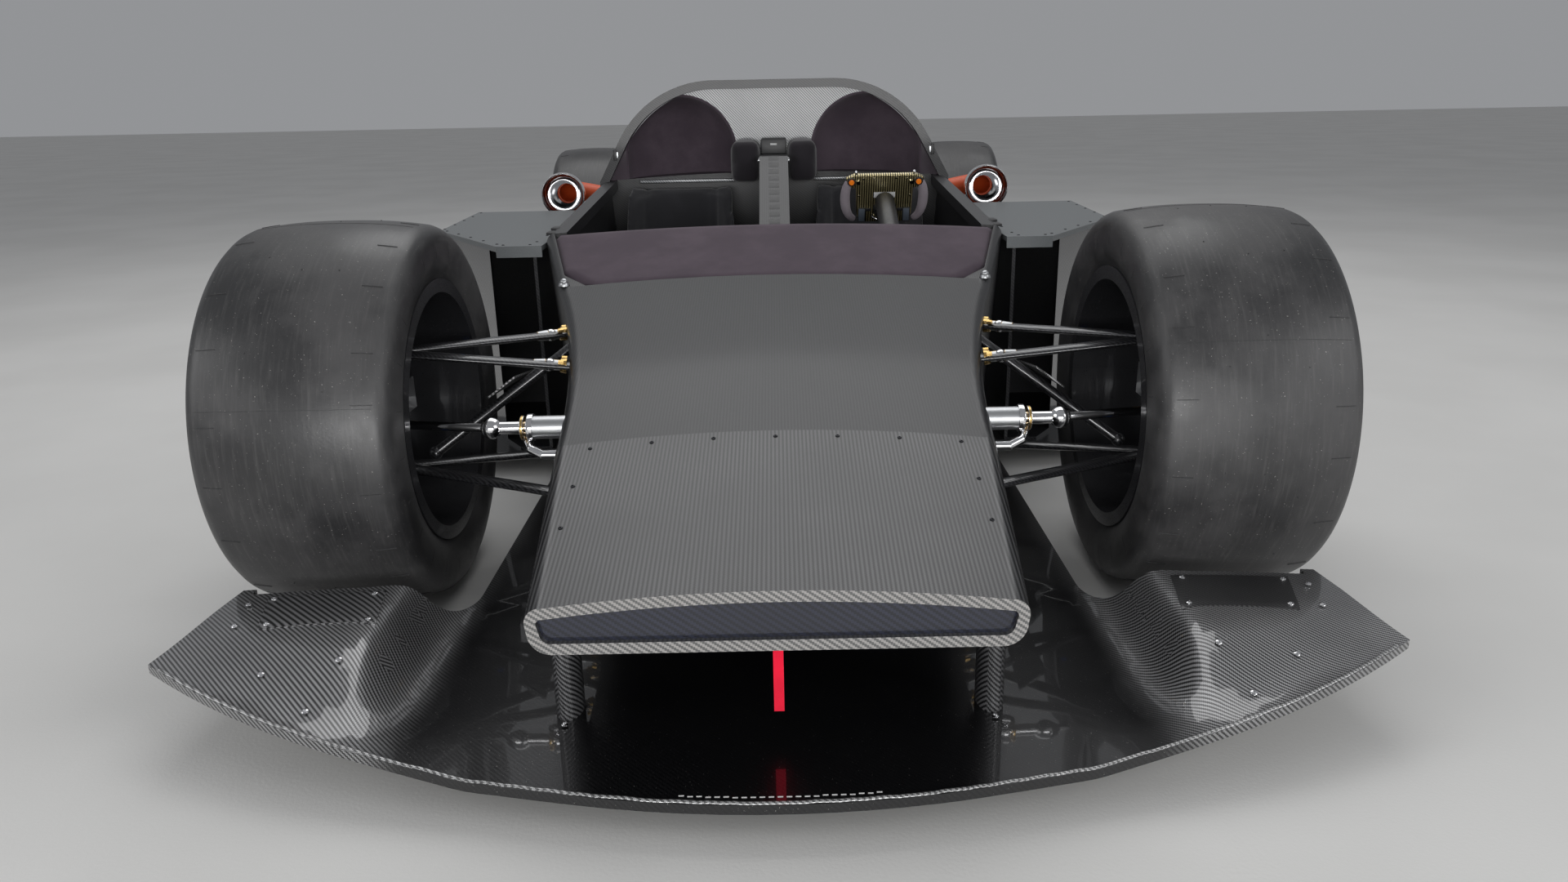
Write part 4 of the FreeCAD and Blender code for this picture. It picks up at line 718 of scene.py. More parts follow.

# %% [markdown]
# ## Padded pieces
# The chairs, the two blocks beside the spine and the top of the dash are foam under cloth. A plain solid
# looks like wood, so each gets a closed shape with crowned faces, and the chairs and the blocks also get
# pulled-in seams. The chairs and the blocks are swollen by Cloth: their plain form is remeshed into even
# small faces, pressed from inside for a few frames, and held near its start so that it only fills out. The
# seams are sewn in afterwards.

# %% Swell a form with Cloth


def swollen(name, mesh, voxel, pressure, cap, frames=20):
    """A copy of the mesh, remeshed and blown up a little by Cloth, no point moving more than cap."""
    source = bpy.data.objects.new(name, mesh)
    bpy.context.scene.collection.objects.link(source)
    even = source.modifiers.new("even", "REMESH")
    even.mode, even.voxel_size = "VOXEL", voxel
    depsgraph = bpy.context.evaluated_depsgraph_get()
    start = bpy.data.meshes.new_from_object(source.evaluated_get(depsgraph))
    bpy.data.objects.remove(source)
    made = bpy.data.objects.new(name, start)
    bpy.context.scene.collection.objects.link(made)
    cloth_run = made.modifiers.new("swell", "CLOTH")
    settings = cloth_run.settings
    settings.quality, settings.mass = 4, 0.3
    settings.tension_stiffness = settings.compression_stiffness = 25
    settings.bending_stiffness = 0.6
    settings.use_pressure, settings.uniform_pressure_force = True, pressure
    settings.effector_weights.gravity = 0
    cloth_run.point_cache.frame_start, cloth_run.point_cache.frame_end = 1, frames
    scene = bpy.context.scene
    for frame_number in range(1, frames + 1):
        scene.frame_set(frame_number)
    ready = made.evaluated_get(bpy.context.evaluated_depsgraph_get()).to_mesh()
    moved = [vertex.co.copy() for vertex in ready.vertices]
    scene.frame_set(1)
    made.modifiers.clear()
    for vertex, place in zip(start.vertices, moved):
        shift = place - vertex.co
        if shift.length > cap:
            shift *= cap / shift.length
        vertex.co += shift
    bpy.data.objects.remove(made)
    return start


def eased(mesh, rounds=6, factor=0.5):
    """Evens out a mesh's surface."""
    shape = bmesh.new()
    shape.from_mesh(mesh)
    for _ in range(rounds):
        bmesh.ops.smooth_vert(shape, verts=shape.verts, factor=factor, use_axis_x=True, use_axis_y=True,
                              use_axis_z=True)
    shape.to_mesh(mesh)
    shape.free()
    return mesh


def seam(mesh, depth, wide, *lines):
    """Draws surface points in towards a seam. Each line is (axis, place along it, test on the point)."""
    for vertex in mesh.vertices:
        for axis, place, wanted in lines:
            gap = abs(vertex.co[axis] - place)
            if gap < wide and wanted(vertex.co):
                vertex.co -= vertex.normal * depth * (1 - gap / wide) ** 0.7


# %% [markdown]
# ## Bucket chairs
# Each chair is a lined shell: a reclined back, a scooped seat and two raised side wings that hold the
# driver. The form is lofted from cross-sections that run from the front lip down through the hips and up
# the back. Every section is a shallow U, so the wings come from the same sheet as the cushion.

# %% One chair
CHAIR_SPINE = [(-0.545, 0.245, 0.030), (-0.470, 0.235, 0.040), (-0.360, 0.195, 0.060), (-0.260, 0.170, 0.085),
               (-0.180, 0.185, 0.105), (-0.110, 0.260, 0.115), (-0.055, 0.350, 0.110), (-0.010, 0.450, 0.095),
               (0.030, 0.545, 0.070), (0.060, 0.620, 0.045), (0.072, 0.650, 0.020)]
CHAIR_HALF, CHAIR_THICK = 0.170, 0.045


def chair_form(centre_x):
    """Closed faces of one chair: a U-shaped section run along its spine."""
    across = [-1, -0.97, -0.9, -0.8, -0.68, -0.5, -0.25, 0, 0.25, 0.5, 0.68, 0.8, 0.9, 0.97, 1]
    spine = [Vector((0, y, z)) for y, z, wing in CHAIR_SPINE]
    rows = []
    for i, (y, z, wing) in enumerate(CHAIR_SPINE):
        run = (spine[min(i + 1, len(spine) - 1)] - spine[max(i - 1, 0)]).normalized()
        out = Vector((0, -run.z, run.y))
        half = CHAIR_HALF * (0.90 + 0.10 * math.sin(math.pi * i / (len(CHAIR_SPINE) - 1)))
        top, under = [], []
        for share in across:
            rise = wing * max(0, (abs(share) - 0.45) / 0.55) ** 1.6
            place = Vector((centre_x + share * half, y, z)) + out * rise
            top.append(place)
            under.append(place - out * CHAIR_THICK)
        rows.append(top + under[::-1])
    count = len(rows[0])
    points = [place for row in rows for place in row]
    faces = []
    for i in range(len(rows) - 1):
        for j in range(count):
            faces.append((i * count + j, i * count + (j + 1) % count, (i + 1) * count + (j + 1) % count,
                          (i + 1) * count + j))
    faces += [tuple(range(count)), tuple(len(points) - 1 - j for j in range(count))]
    mesh = bpy.data.meshes.new("chair_form")
    mesh.from_pydata([tuple(p) for p in points], [], faces)
    shape = bmesh.new()
    shape.from_mesh(mesh)
    bmesh.ops.recalc_face_normals(shape, faces=shape.faces)
    shape.to_mesh(mesh)
    shape.free()
    return mesh


def chair(side, centre_x):
    mesh = swollen("chair", chair_form(centre_x), 0.008, 3.0, 0.007)
    eased(mesh, 3)
    half = 0.62 * CHAIR_HALF
    seams = [(0, centre_x + half, lambda p: True), (0, centre_x - half, lambda p: True)]
    seams += [(2, z, lambda p: p.y > -0.09) for z in (0.36, 0.50)]
    seams += [(1, y, lambda p: p.y < -0.10) for y in (-0.24, -0.38)]
    seam(mesh, 0.005, 0.010, *seams)
    piece = settle(mesh, f"{side}_chair_cover", seat_cloth, "chassis", angle=180, seal=False)
    return piece


chairs = [chair("left", 0.290), chair("right", -0.290)]
for piece in chairs:
    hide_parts("seats")
print("chair faces", [len(piece.data.polygons) for piece in chairs])

# %% [markdown]
# ## Blocks beside the spine and the dash top
# The head blocks are small boxed cushions: swelling rounds their faces, then a welt runs round the front
# edge. The dash top is a thin suede layer over foam. It follows the tub's own crown, its front corners
# are cut off at a slant, and its rim rolls down to the carbon all the way round.

# %% Head blocks


def rounded_box(low, high, bevel):
    shape = bmesh.new()
    made = bmesh.ops.create_cube(shape, size=1.0)["verts"]
    low, high = Vector(low), Vector(high)
    bmesh.ops.transform(shape, matrix=Matrix.LocRotScale((low + high) / 2, None, high - low), verts=made)
    bmesh.ops.bevel(shape, geom=list(shape.edges), offset=bevel, segments=4, affect="EDGES", profile=0.5)
    mesh = bpy.data.meshes.new("box")
    shape.to_mesh(mesh)
    shape.free()
    return mesh


pads_low, pads_high = (Vector(corner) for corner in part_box("head_pads"))
spine_half = 0.042
for side, sign in (("left", 1), ("right", -1)):
    inner, outer = sorted((sign * (spine_half + 0.004), sign * (pads_high.x - 0.004)))
    form = rounded_box((inner, pads_low.y + 0.004, pads_low.z + 0.004),
                       (outer, pads_high.y - 0.001, pads_high.z - 0.004), 0.018)
    mesh = eased(swollen("block", form, 0.005, 3.0, 0.004), 2)
    seam(mesh, 0.0022, 0.005, (1, pads_low.y + 0.030, lambda p: True))
    piece = settle(mesh, f"{side}_head_block", pad_cloth, "chassis", angle=180, seal=False)
    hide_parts("head_pads")

# %% Dash top
dash_low, dash_high = (Vector(corner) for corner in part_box("dash_pad"))
dash_mesh = nodes["dash_pad"].data
tops = [(vertex.co.y, vertex.co.x, vertex.co.z) for vertex in dash_mesh.vertices]
front_y, rear_y = dash_low.y, dash_high.y
front_half = max(abs(x) for y, x, z in tops if y < front_y + 0.004)
rear_half = max(abs(x) for y, x, z in tops if y > rear_y - 0.004)
front_z = max(z for y, x, z in tops if y < front_y + 0.004)
rear_z = max(z for y, x, z in tops if y > rear_y - 0.004)
CROWN = 0.018


def blend_of(y):
    return (y - front_y) / (rear_y - front_y)


def dash_half(y):
    return front_half + (rear_half - front_half) * blend_of(y)


def dash_edge(y):
    return front_z + (rear_z - front_z) * blend_of(y) - CROWN


def dash_top():
    """A closed thin cushion: a grid over the crown, rolled down at its rim."""
    columns, rows, corner = 72, 26, 0.30
    points, faces = [], []
    for layer in (0, 1):
        for j in range(rows + 1):
            for i in range(columns + 1):
                v = j / rows
                y = front_y + (rear_y - front_y) * v
                cut = 1 - 0.13 * max(0, 1 - v / corner)
                x = (2 * i / columns - 1) * dash_half(y) * cut
                edge = (min(i, columns - i) / columns * 2 * dash_half(y),
                        min(j, rows - j) / rows * (rear_y - front_y))
                roll = min(1.0, min(edge) / 0.016)
                lift = 0.0115 * math.sqrt(1 - (1 - roll) ** 2)
                share = x / dash_half(y)
                z = dash_edge(y) + CROWN * (1 - share * share) - 0.0135
                points.append((x, y, z + (lift if layer == 0 else -0.002)))
    count = (columns + 1) * (rows + 1)
    for j in range(rows):
        for i in range(columns):
            a = j * (columns + 1) + i
            quad = (a, a + 1, a + columns + 2, a + columns + 1)
            faces.append(quad)
            faces.append(tuple(count + index for index in reversed(quad)))
    rim_line = [i for i in range(columns + 1)] + [j * (columns + 1) + columns for j in range(1, rows + 1)]
    rim_line += [rows * (columns + 1) + i for i in range(columns - 1, -1, -1)]
    rim_line += [j * (columns + 1) for j in range(rows - 1, 0, -1)]
    for here, there in zip(rim_line, rim_line[1:] + rim_line[:1]):
        faces.append((here, there, there + count, here + count))
    return points, faces


dash = add_piece("dash_top_cover", *dash_top(), mauve_suede, "chassis", "suede", angle=70)
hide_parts("dash_pad")
print("dash", [round(v, 3) for v in (front_half, rear_half, front_z, rear_z)])

# %% [markdown]
# ## The steering wheel
# The wheel is a squared carbon plate with vertical gold stripes, a grip of grey suede on each side,
# orange buttons in its upper corners, small bright toggles above them and two paddles. It is built flat
# round its own centre and then tilted into place, so that all of it rides on the wheel's body and turns
# with it. The plate in its middle stays blank.

# %% Build the wheel
WHEEL_CENTRE, WHEEL_TILT = Vector((0.296, -0.410, 0.650)), Matrix.Rotation(math.radians(22), 3, "X")


def striped(name, dark, bright, pitch):
    """Bright and dark bands that follow each other across the car."""
    finish = Finish(name, dark, 0.3, 0.85, Coat_Weight=0.4, Coat_Roughness=0.06)
    x, y, z = finish.split(finish.coords())
    band = finish.band(finish.sum("PINGPONG", finish.sum("DIVIDE", x, pitch), 0.5), 0.22, 0.30)
    weave = finish.band(finish.noise(900.0, 2.0), 0.35, 0.65, 0.55, 1.0)
    shade = finish.mix(finish.sum("MULTIPLY", band, weave), dark, bright)
    finish.link(shade, finish.shader.inputs["Base Color"])
    finish.bump(band, 0.25, 0.0005)
    return finish


gold_stripes = striped("gold_striped_carbon", (0.03, 0.025, 0.012), (0.66, 0.56, 0.30), 0.0062)
paddle_grey = metal("paddle_grey", (0.10, 0.12, 0.15), 0.4, metallic=0.3)


def on_wheel(u, v, w):
    """A point of the wheel's own frame: across, up, and towards the driver."""
    return WHEEL_CENTRE + WHEEL_TILT @ Vector((u, w, v))


def plate_outline():
    corners = [(-0.062, -0.068), (0.062, -0.068), (0.074, -0.045), (0.076, 0.030), (0.100, 0.036),
               (0.104, 0.060),
               (0.082, 0.070), (-0.082, 0.070), (-0.104, 0.060), (-0.100, 0.036), (-0.076, 0.030), (-0.074, -0.045)]
    return corners


def wheel_plate():
    shape = bmesh.new()
    ring = [shape.verts.new(on_wheel(u, v, -0.018)) for u, v in plate_outline()]
    face = shape.faces.new(ring)
    thick = bmesh.ops.extrude_face_region(shape, geom=[face])
    moved = [item for item in thick["geom"] if isinstance(item, bmesh.types.BMVert)]
    bmesh.ops.translate(shape, verts=moved, vec=WHEEL_TILT @ Vector((0, 0.014, 0)))
    bmesh.ops.recalc_face_normals(shape, faces=shape.faces)
    bmesh.ops.bevel(shape, geom=list(shape.edges), offset=0.003, segments=3, affect="EDGES", profile=0.5)
    mesh = bpy.data.meshes.new("plate")
    shape.to_mesh(mesh)
    shape.free()
    return settle(mesh, "hand_wheel_plate", gold_stripes, "steering_wheel")


plate = wheel_plate()
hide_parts("steering_wheel")
fittings = Assembly()
for sign in (1, -1):
    fittings.bar(on_wheel(sign * 0.089, 0.051, -0.018), on_wheel(sign * 0.089, 0.051, -0.0225), 0.0115,
                 soft=0.001, index=0)
    fittings.bar(on_wheel(sign * 0.089, 0.051, -0.0225), on_wheel(sign * 0.089, 0.051, -0.0255), 0.0075, 0.0065,
                 index=1)
    fittings.bar(on_wheel(sign * 0.071, 0.049, -0.018), on_wheel(sign * 0.071, 0.049, -0.0235), 0.0055, index=2)
    fittings.bar(on_wheel(sign * 0.076, 0.068, -0.011), on_wheel(sign * 0.077, 0.0745, -0.011), 0.0035, index=2)
    fittings.ball(on_wheel(sign * 0.077, 0.0745, -0.011), 0.0042, index=2)
    fittings.block(on_wheel(sign * 0.060, -0.044, -0.0225), (0.020, 0.005, 0.040), WHEEL_TILT, 0.0018, index=3)
    fittings.block(on_wheel(sign * 0.050, -0.030, -0.0205), (0.030, 0.004, 0.008), WHEEL_TILT, 0.001, index=0)
    for u, v in ((0.058, 0.058), (0.030, 0.060), (0.068, 0.010), (0.068, -0.058)):
        fittings.bar(on_wheel(sign * u, v, -0.018), on_wheel(sign * u, v, -0.0200), 0.0028, 0.0022, 12, index=2)
fittings.block(on_wheel(0.0, 0.012, -0.0187), (0.058, 0.0016, 0.017), WHEEL_TILT, 0.0006, index=4)
fittings.bar(on_wheel(0, -0.030, -0.017), on_wheel(0, -0.030, -0.0250), 0.030, 0.026, 40, 0.001, index=0)
for step in range(6):
    angle = math.pi * step / 3
    u, v = 0.021 * math.cos(angle), -0.030 + 0.021 * math.sin(angle)
    fittings.bar(on_wheel(u, v, -0.0245), on_wheel(u, v, -0.0262), 0.0026, sides=12, index=2)
arc = [(0.046 * math.sin(a), -0.018 - 0.044 * math.cos(a))
       for a in [math.radians(-48 + 12 * i) for i in range(9)]]
for (u, v), (u2, v2) in zip(arc, arc[1:]):
    fittings.bar(on_wheel(u, v, -0.0225), on_wheel(u2, v2, -0.0225), 0.0028, sides=12, index=2)
fittings.done("hand_wheel_fittings", [black_plastic, orange_button, polished, paddle_grey, blank_plate],
              "steering_wheel")


def grip(sign):
    """A D-shaped suede grip: an oval section run down a bowed line, with closed round ends."""
    line = [(0.084, 0.056), (0.094, 0.050), (0.102, 0.034), (0.1055, 0.010), (0.105, -0.016), (0.100, -0.040),
            (0.090, -0.056), (0.076, -0.064)]
    points, faces, sides = [], [], 20
    for i, (u, v) in enumerate(line):
        ahead_u, ahead_v = line[min(i + 1, len(line) - 1)]
        back_u, back_v = line[max(i - 1, 0)]
        run = Vector((ahead_u - back_u, ahead_v - back_v)).normalized()
        size = 0.55 + 0.45 * math.sin(math.pi * min(max(i, 0.6), len(line) - 1.6) / (len(line) - 1))
        for step in range(sides):
            angle = 2 * math.pi * step / sides
            off, deep = 0.0135 * size * math.cos(angle), 0.0125 * size * math.sin(angle)
            points.append(on_wheel(sign * (u - run.y * off), v + run.x * off, -0.012 + deep))
    for i in range(len(line) - 1):
        for j in range(sides):
            k = (j + 1) % sides
            faces.append((i * sides + j, i * sides + k, (i + 1) * sides + k, (i + 1) * sides + j))
    faces += [tuple(range(sides)), tuple(len(points) - sides + j for j in range(sides))]
    side = "left" if sign > 0 else "right"
    piece = add_piece(f"{side}_hand_grip", points, faces, grip_suede, "steering_wheel", "suede", angle=80)
    rounding = piece.modifiers.new("rounding", "SUBSURF")
    rounding.levels = rounding.render_levels = 1


grip(1)
grip(-1)
print("wheel fitted")

# %% [markdown]
# ## Things that lie on a surface
# Plates, screws and beads sit on curved carbon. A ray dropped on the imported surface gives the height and
# the slope at a place, so each fitting rests on the real sheet and leans with it.

# %% Find a place on a surface
from mathutils.bvhtree import BVHTree

SURFACES = {}


def surface(node):
    if node not in SURFACES:
        mesh = nodes[node].data
        SURFACES[node] = BVHTree.FromPolygons([v.co.copy() for v in mesh.vertices],
                                              [tuple(p.vertices) for p in mesh.polygons])
    return SURFACES[node]


def drop(node, x, y, top=2.0):
    """(place, normal) where a ray falling at (x, y) meets the node."""
    place, normal, _, _ = surface(node).ray_cast(Vector((x, y, top)), Vector((0, 0, -1)))
    if place is None:
        return None
    return place, normal if normal.z > 0 else -normal


def screws_on(name, node, spots, stamp=None, finish=None, body="chassis", lift=0.0):
    set_spots = []
    for x, y in spots:
        found = drop(node, x, y)
        if found:
            place, normal = found
            lie = normal.to_track_quat("Z", "Y").to_euler()
            set_spots.append((place + normal * lift, tuple(lie)))
    return set_on(name, set_spots, stamp or button_head, finish or polished, body)


# %% [markdown]
# ## Splitter fittings
# Each side of the splitter has an access plate with four screws and three more screws ahead of it. The
# left plate is cut from a bold diagonal twill and the right one from a fine dark cloth. A bright bead of
# weave runs along the leading edge.

# %% Access plates
bold_twill = carbon("bold_plate_twill", 0.0030, (0.010, 0.010, 0.011), (0.26, 0.26, 0.265), coat=0.5,
                    coat_rough=0.1)
dark_twill = carbon("dark_plate_twill", 0.0018, (0.012, 0.012, 0.013), (0.07, 0.07, 0.072), coat=0.5,
                    coat_rough=0.1)
PLATE = [(0.832, -0.372), (0.640, -0.372), (0.620, -0.482), (0.800, -0.486)]
AXLE = -1.410


def access_plate(side, sign, finish):
    steps, thick = 14, 0.0032
    (ax, ay), (bx, by), (cx, cy), (dx, dy) = PLATE
    points, faces = [], []
    for layer in (0, 1):
        for j in range(steps + 1):
            for i in range(steps + 1):
                u, v = i / steps, j / steps
                x = (ax + (bx - ax) * u) * (1 - v) + (dx + (cx - dx) * u) * v
                y = (ay + (by - ay) * u) * (1 - v) + (dy + (cy - dy) * u) * v
                inset = min(i, j, steps - i, steps - j)
                found = drop("front_splitter", sign * x, AXLE + y)
                rise = thick if layer == 0 and inset > 0 else (thick * 0.6 if layer == 0 else -0.002)
                points.append(found[0] + Vector((0, 0, rise)))
    count, wide = (steps + 1) ** 2, steps + 1
    for j in range(steps):
        for i in range(steps):
            a = j * wide + i
            quad = (a, a + 1, a + wide + 1, a + wide)
            faces += [quad, tuple(count + index for index in reversed(quad))]
    rim_line = list(range(wide)) + [j * wide + steps for j in range(1, wide)]
    rim_line += [steps * wide + i for i in range(steps - 1, -1, -1)]
    rim_line += [j * wide for j in range(steps - 1, 0, -1)]
    for here, there in zip(rim_line, rim_line[1:] + rim_line[:1]):
        faces.append((here, there, there + count, here + count))
    return add_piece(f"{side}_access_plate", points, faces, finish, "chassis", "carbon", angle=25)


access_plate("left", 1, dark_twill)
access_plate("right", -1, bold_twill)
SPLITTER_SCREWS = [(0.750, -0.589), (0.640, -0.577), (0.660, -0.660), (0.818, -0.384), (0.654, -0.384),
                   (0.634, -0.472), (0.790, -0.474), (0.306, -0.640), (0.306, -0.540), (0.852, -0.400),
                   (0.842, -0.470)]
spots = [(sign * x, AXLE + y) for sign in (1, -1) for x, y in SPLITTER_SCREWS]
screws_on("splitter_screws", "front_splitter", spots, lift=0.0026)

# %% Leading edge
edge_finish = carbon("edge_weave", 0.0021, (0.10, 0.10, 0.10), (0.46, 0.46, 0.46), coat=0.6, coat_rough=0.12,
                     metal=0.6)


def leading_edge():
    """Points just behind the splitter's front edge, found by stepping back until the ray meets the sheet."""
    spots = []
    for i in range(121):
        x = -0.900 + 1.800 * i / 120
        y = -2.245
        while drop("front_splitter", x, y) is None and y < -1.9:
            y += 0.002
        place, normal = drop("front_splitter", x, y + 0.004)
        spots.append(place)
    return spots


bead, around, bead_radius = leading_edge(), 8, 0.0034
points, faces = [], []
for i, place in enumerate(bead):
    run = (bead[min(i + 1, len(bead) - 1)] - bead[max(i - 1, 0)]).normalized()
    out = run.cross(Vector((0, 0, 1))).normalized()
    for step in range(around):
        angle = 2 * math.pi * step / around
        around_it = math.cos(angle) * out + math.sin(angle) * Vector((0, 0, 1))
        points.append(place + bead_radius * around_it - Vector((0, 0, 0.001)))
for i in range(len(bead) - 1):
    for j in range(around):
        k = (j + 1) % around
        faces.append((i * around + j, i * around + k, (i + 1) * around + k, (i + 1) * around + j))
faces += [tuple(range(around)), tuple(len(points) - around + j for j in range(around))]
add_piece("splitter_edge_bead", points, faces, edge_finish, "chassis", "carbon", angle=60)
MARK_HALF_LONG, MARK_HALF_WIDE, MARK_THICK = 0.0035, 0.0009, 0.0006
mark_plan = [(-MARK_HALF_LONG, -MARK_HALF_WIDE), (MARK_HALF_LONG, -MARK_HALF_WIDE),
             (MARK_HALF_LONG, MARK_HALF_WIDE), (-MARK_HALF_LONG, MARK_HALF_WIDE)]
mark_points = [(x, y, z) for z in (0, MARK_THICK) for x, y in mark_plan]
mark_faces = [(3, 2, 1, 0), (4, 5, 6, 7), (0, 1, 5, 4), (1, 2, 6, 5), (2, 3, 7, 6), (3, 0, 4, 7)]
dash_mark = loose(mark_points, mark_faces)
white_mark = metal("white_mark", (0.75, 0.75, 0.74), 0.5, metallic=0.0)
marks = [(0.0115 * n, min(p.y for p in bead if abs(p.x - 0.0115 * n) < 0.02) + 0.012) for n in range(-11, 12)]
screws_on("splitter_edge_marks", "front_splitter", marks, dash_mark, white_mark)
bpy.data.objects.remove(dash_mark)
print("edge points", len(bead))

# %% [markdown]
# ## Suspension fittings
# Carbon arms end in machined joints. At the tub each leg has a gold collar, a bright ball and two bolts.
# At the upright there is a capped pin, and a silver plate with two holes stands beside the upper one;
# the holes are black discs, painted shade. The places come from the arms' own lines, met with the tub's
# skin by a ray.

# %% Joints at the tub
BALLS = {"upper": Vector((0.740, AXLE, 0.467)), "lower": Vector((0.740, AXLE, 0.243))}
FEET = {"upper": [(0.380, 0.030, 0.426), (0.400, 0.230, 0.452)],
        "lower": [(0.330, -0.150, 0.224), (0.390, 0.230, 0.196)]}


def flip(place, sign):
    return Vector((sign * place.x, place.y, place.z))


joints_made = Assembly()
for level, feet in FEET.items():
    for x, y, z in feet:
        ball, foot = BALLS[level], Vector((x, AXLE + y, z))
        run = (foot - ball).normalized()
        place, _, _, _ = surface("monocoque").ray_cast(ball, run)
        if place is None:
            place = foot
        for sign in (1, -1):
            near, way = flip(place, sign), flip(run, sign)
            joints_made.bar(near - way * 0.004, near - way * 0.016, 0.0150, 0.0130, 28, 0.0008, index=0)
            joints_made.bar(near - way * 0.016, near - way * 0.030, 0.0105, 0.0105, 6, 0.0006, index=1)
            joints_made.ball(near - way * 0.036, 0.0125, index=2)
            joints_made.bar(near - way * 0.044, near - way * 0.066, 0.0112, 0.0090, 24, 0.0006, index=1)
            for offset in (0.018, -0.018):
                spot = near - way * 0.006 + Vector((0, offset, 0.010))
                joints_made.bar(spot, spot - way * 0.010, 0.0048, 0.0044, 6, index=0)
joints_made.done("arm_joints", [gold, milled, polished], "chassis")

# %% Caps and plates at the uprights
for side, sign in (("left", 1), ("right", -1)):
    caps = Assembly()
    for z, up in ((0.467, 1), (0.243, -1)):
        base = Vector((sign * 0.740, AXLE, z + up * 0.0115))
        caps.bar(base, base + Vector((0, 0, up * 0.007)), 0.0085, 0.0080, 6, 0.0005, index=0)
        caps.bar(base + Vector((0, 0, up * 0.007)), base + Vector((0, 0, up * 0.010)), 0.0050, 0.0045, 20,
                 index=1)
    middle = Vector((sign * 0.700, AXLE - 0.052, 0.448))
    caps.block(middle, (0.050, 0.009, 0.024), None, 0.0035, index=2)
    for offset in (-0.013, 0.013):
        spot = middle + Vector((offset, -0.0045, 0))
        caps.bar(spot + Vector((0, 0.002, 0)), spot - Vector((0, 0.0035, 0)), 0.0085, 0.0078, 24, 0.0004,
                 index=1)
        # The black disc paints the shade inside the plate's hole.
        caps.bar(spot - Vector((0, 0.003, 0)), spot - Vector((0, 0.0042, 0)), 0.0040, sides=16, index=3)
    caps.block(middle + Vector((sign * 0.022, 0.024, -0.010)), (0.012, 0.050, 0.016), None, 0.002, index=2)
    caps.done(f"{side}_upright_caps", [gold, polished, milled, black_plastic], f"front_{side}_knuckle")

# %% Rack ends, pipes and vanes
rack = Assembly()
for sign in (1, -1):
    for x, radius, long, kind in ((0.428, 0.024, 0.010, 0), (0.440, 0.021, 0.006, 1)):
        rack.bar((sign * x, AXLE - 0.190, 0.372), (sign * (x - long), AXLE - 0.190, 0.372), radius, sides=36,
                 soft=0.001, index=kind)
    line = [(0.300, -0.205, 0.336), (0.360, -0.214, 0.330), (0.402, -0.214, 0.330), (0.424, -0.205, 0.338),
            (0.432, -0.190, 0.350)]
    line = [Vector((sign * x, AXLE + y, z)) for x, y, z in line]
    for here, there in zip(line, line[1:]):
        rack.bar(here, there, 0.0085, sides=18, index=0)
        rack.ball(there, 0.0085, index=0)
rack.done("rack_ends", [polished, gold], "chassis")
vane_twill = carbon("vane_twill", 0.0030, (0.02, 0.02, 0.02), (0.42, 0.42, 0.43), coat=0.5, coat_rough=0.1)
for side, sign in (("left", 1), ("right", -1)):
    corners = [(0.497, 0.020, 0.412), (0.552, 0.020, 0.372), (0.548, 0.190, 0.356), (0.500, 0.190, 0.384)]
    top = [Vector((sign * x, AXLE + y, z)) for x, y, z in corners]
    under = [place - Vector((0, 0, 0.004)) for place in top]
    faces = [(0, 1, 2, 3), (7, 6, 5, 4)] + [(i, (i + 1) % 4, (i + 1) % 4 + 4, i + 4) for i in range(4)]
    add_piece(f"{side}_vane", top + under, faces, vane_twill, "chassis", "carbon", smooth=False)

# %% [markdown]
# ## Screws, latches and panel joints
# Quick-release screws run along the edges of the side panels and the nose. They all come from
# the same node tree, which turns each copy to the surface below it.

# %% Rows of screws


def row(start, end, count):
    """count places in a straight row, both ends among them."""
    start, end = Vector(start), Vector(end)
    return [tuple(start.lerp(end, i / (count - 1))) for i in range(count)]


PANEL_ROWS = [((0.590, -0.755), (0.655, -0.755), 2), ((0.675, -0.735), (0.885, -0.428), 5),
              ((0.905, -0.38), (0.920, 0.06), 5), ((0.585, -0.70), (0.585, 0.05), 7)]
panel_spots = []
for sign in (1, -1):
    for start, end, count in PANEL_ROWS:
        panel_spots += [(sign * x, y) for x, y in row(start, end, count)]
screws_on("panel_screws", "side_panels", panel_spots, small_head, dark_alloy)
nose_spots = row((-0.300, -1.730), (0.300, -1.730), 7)
nose_spots += [(sign * 0.31, y) for sign in (1, -1) for y in (-1.95, -1.84)]
screws_on("nose_screws", "nose_box", nose_spots, small_head, dark_alloy)

# %% Latches and recesses
ledge_weave = carbon("ledge_weave", 0.0020, (0.06, 0.062, 0.065), (0.30, 0.31, 0.32), coat=0.4, coat_rough=0.1)
LOCATOR = (0.463, -1.018)
SPINE_START, SPINE_RISE, SPINE_TILT = (-0.430, 0.545), 0.577, 30
latches = Assembly()
for sign in (1, -1):
    latches.block((sign * 0.498, 0.125, 0.745), (0.010, 0.030, 0.034), None, 0.002, index=0)
    latches.block((sign * 0.491, 0.121, 0.745), (0.008, 0.014, 0.020), None, 0.001, index=1)
    # The black pads on the sills stand for slotted recesses: their black is the recesses' painted shade on a raised
    # pad.
    for y in (-0.700, -0.640):
        found = drop("monocoque", sign * 0.545, y)
        if found:
            latches.block(found[0] + Vector((0, 0, 0.001)), (0.022, 0.046, 0.006), None, 0.0015, index=0)
    found = drop("monocoque", sign * LOCATOR[0], LOCATOR[1])
    if found:
        spot = found[0]
        latches.bar(spot - Vector((0, 0, 0.002)), spot + Vector((0, 0, 0.008)), 0.013, 0.010, 32, 0.0015,
                    index=1)
        latches.ball(spot + Vector((0, 0, 0.007)), 0.0085, index=1)
latches.block((0, 0.075, 0.765), (0.078, 0.085, 0.046), None, 0.006, index=0)
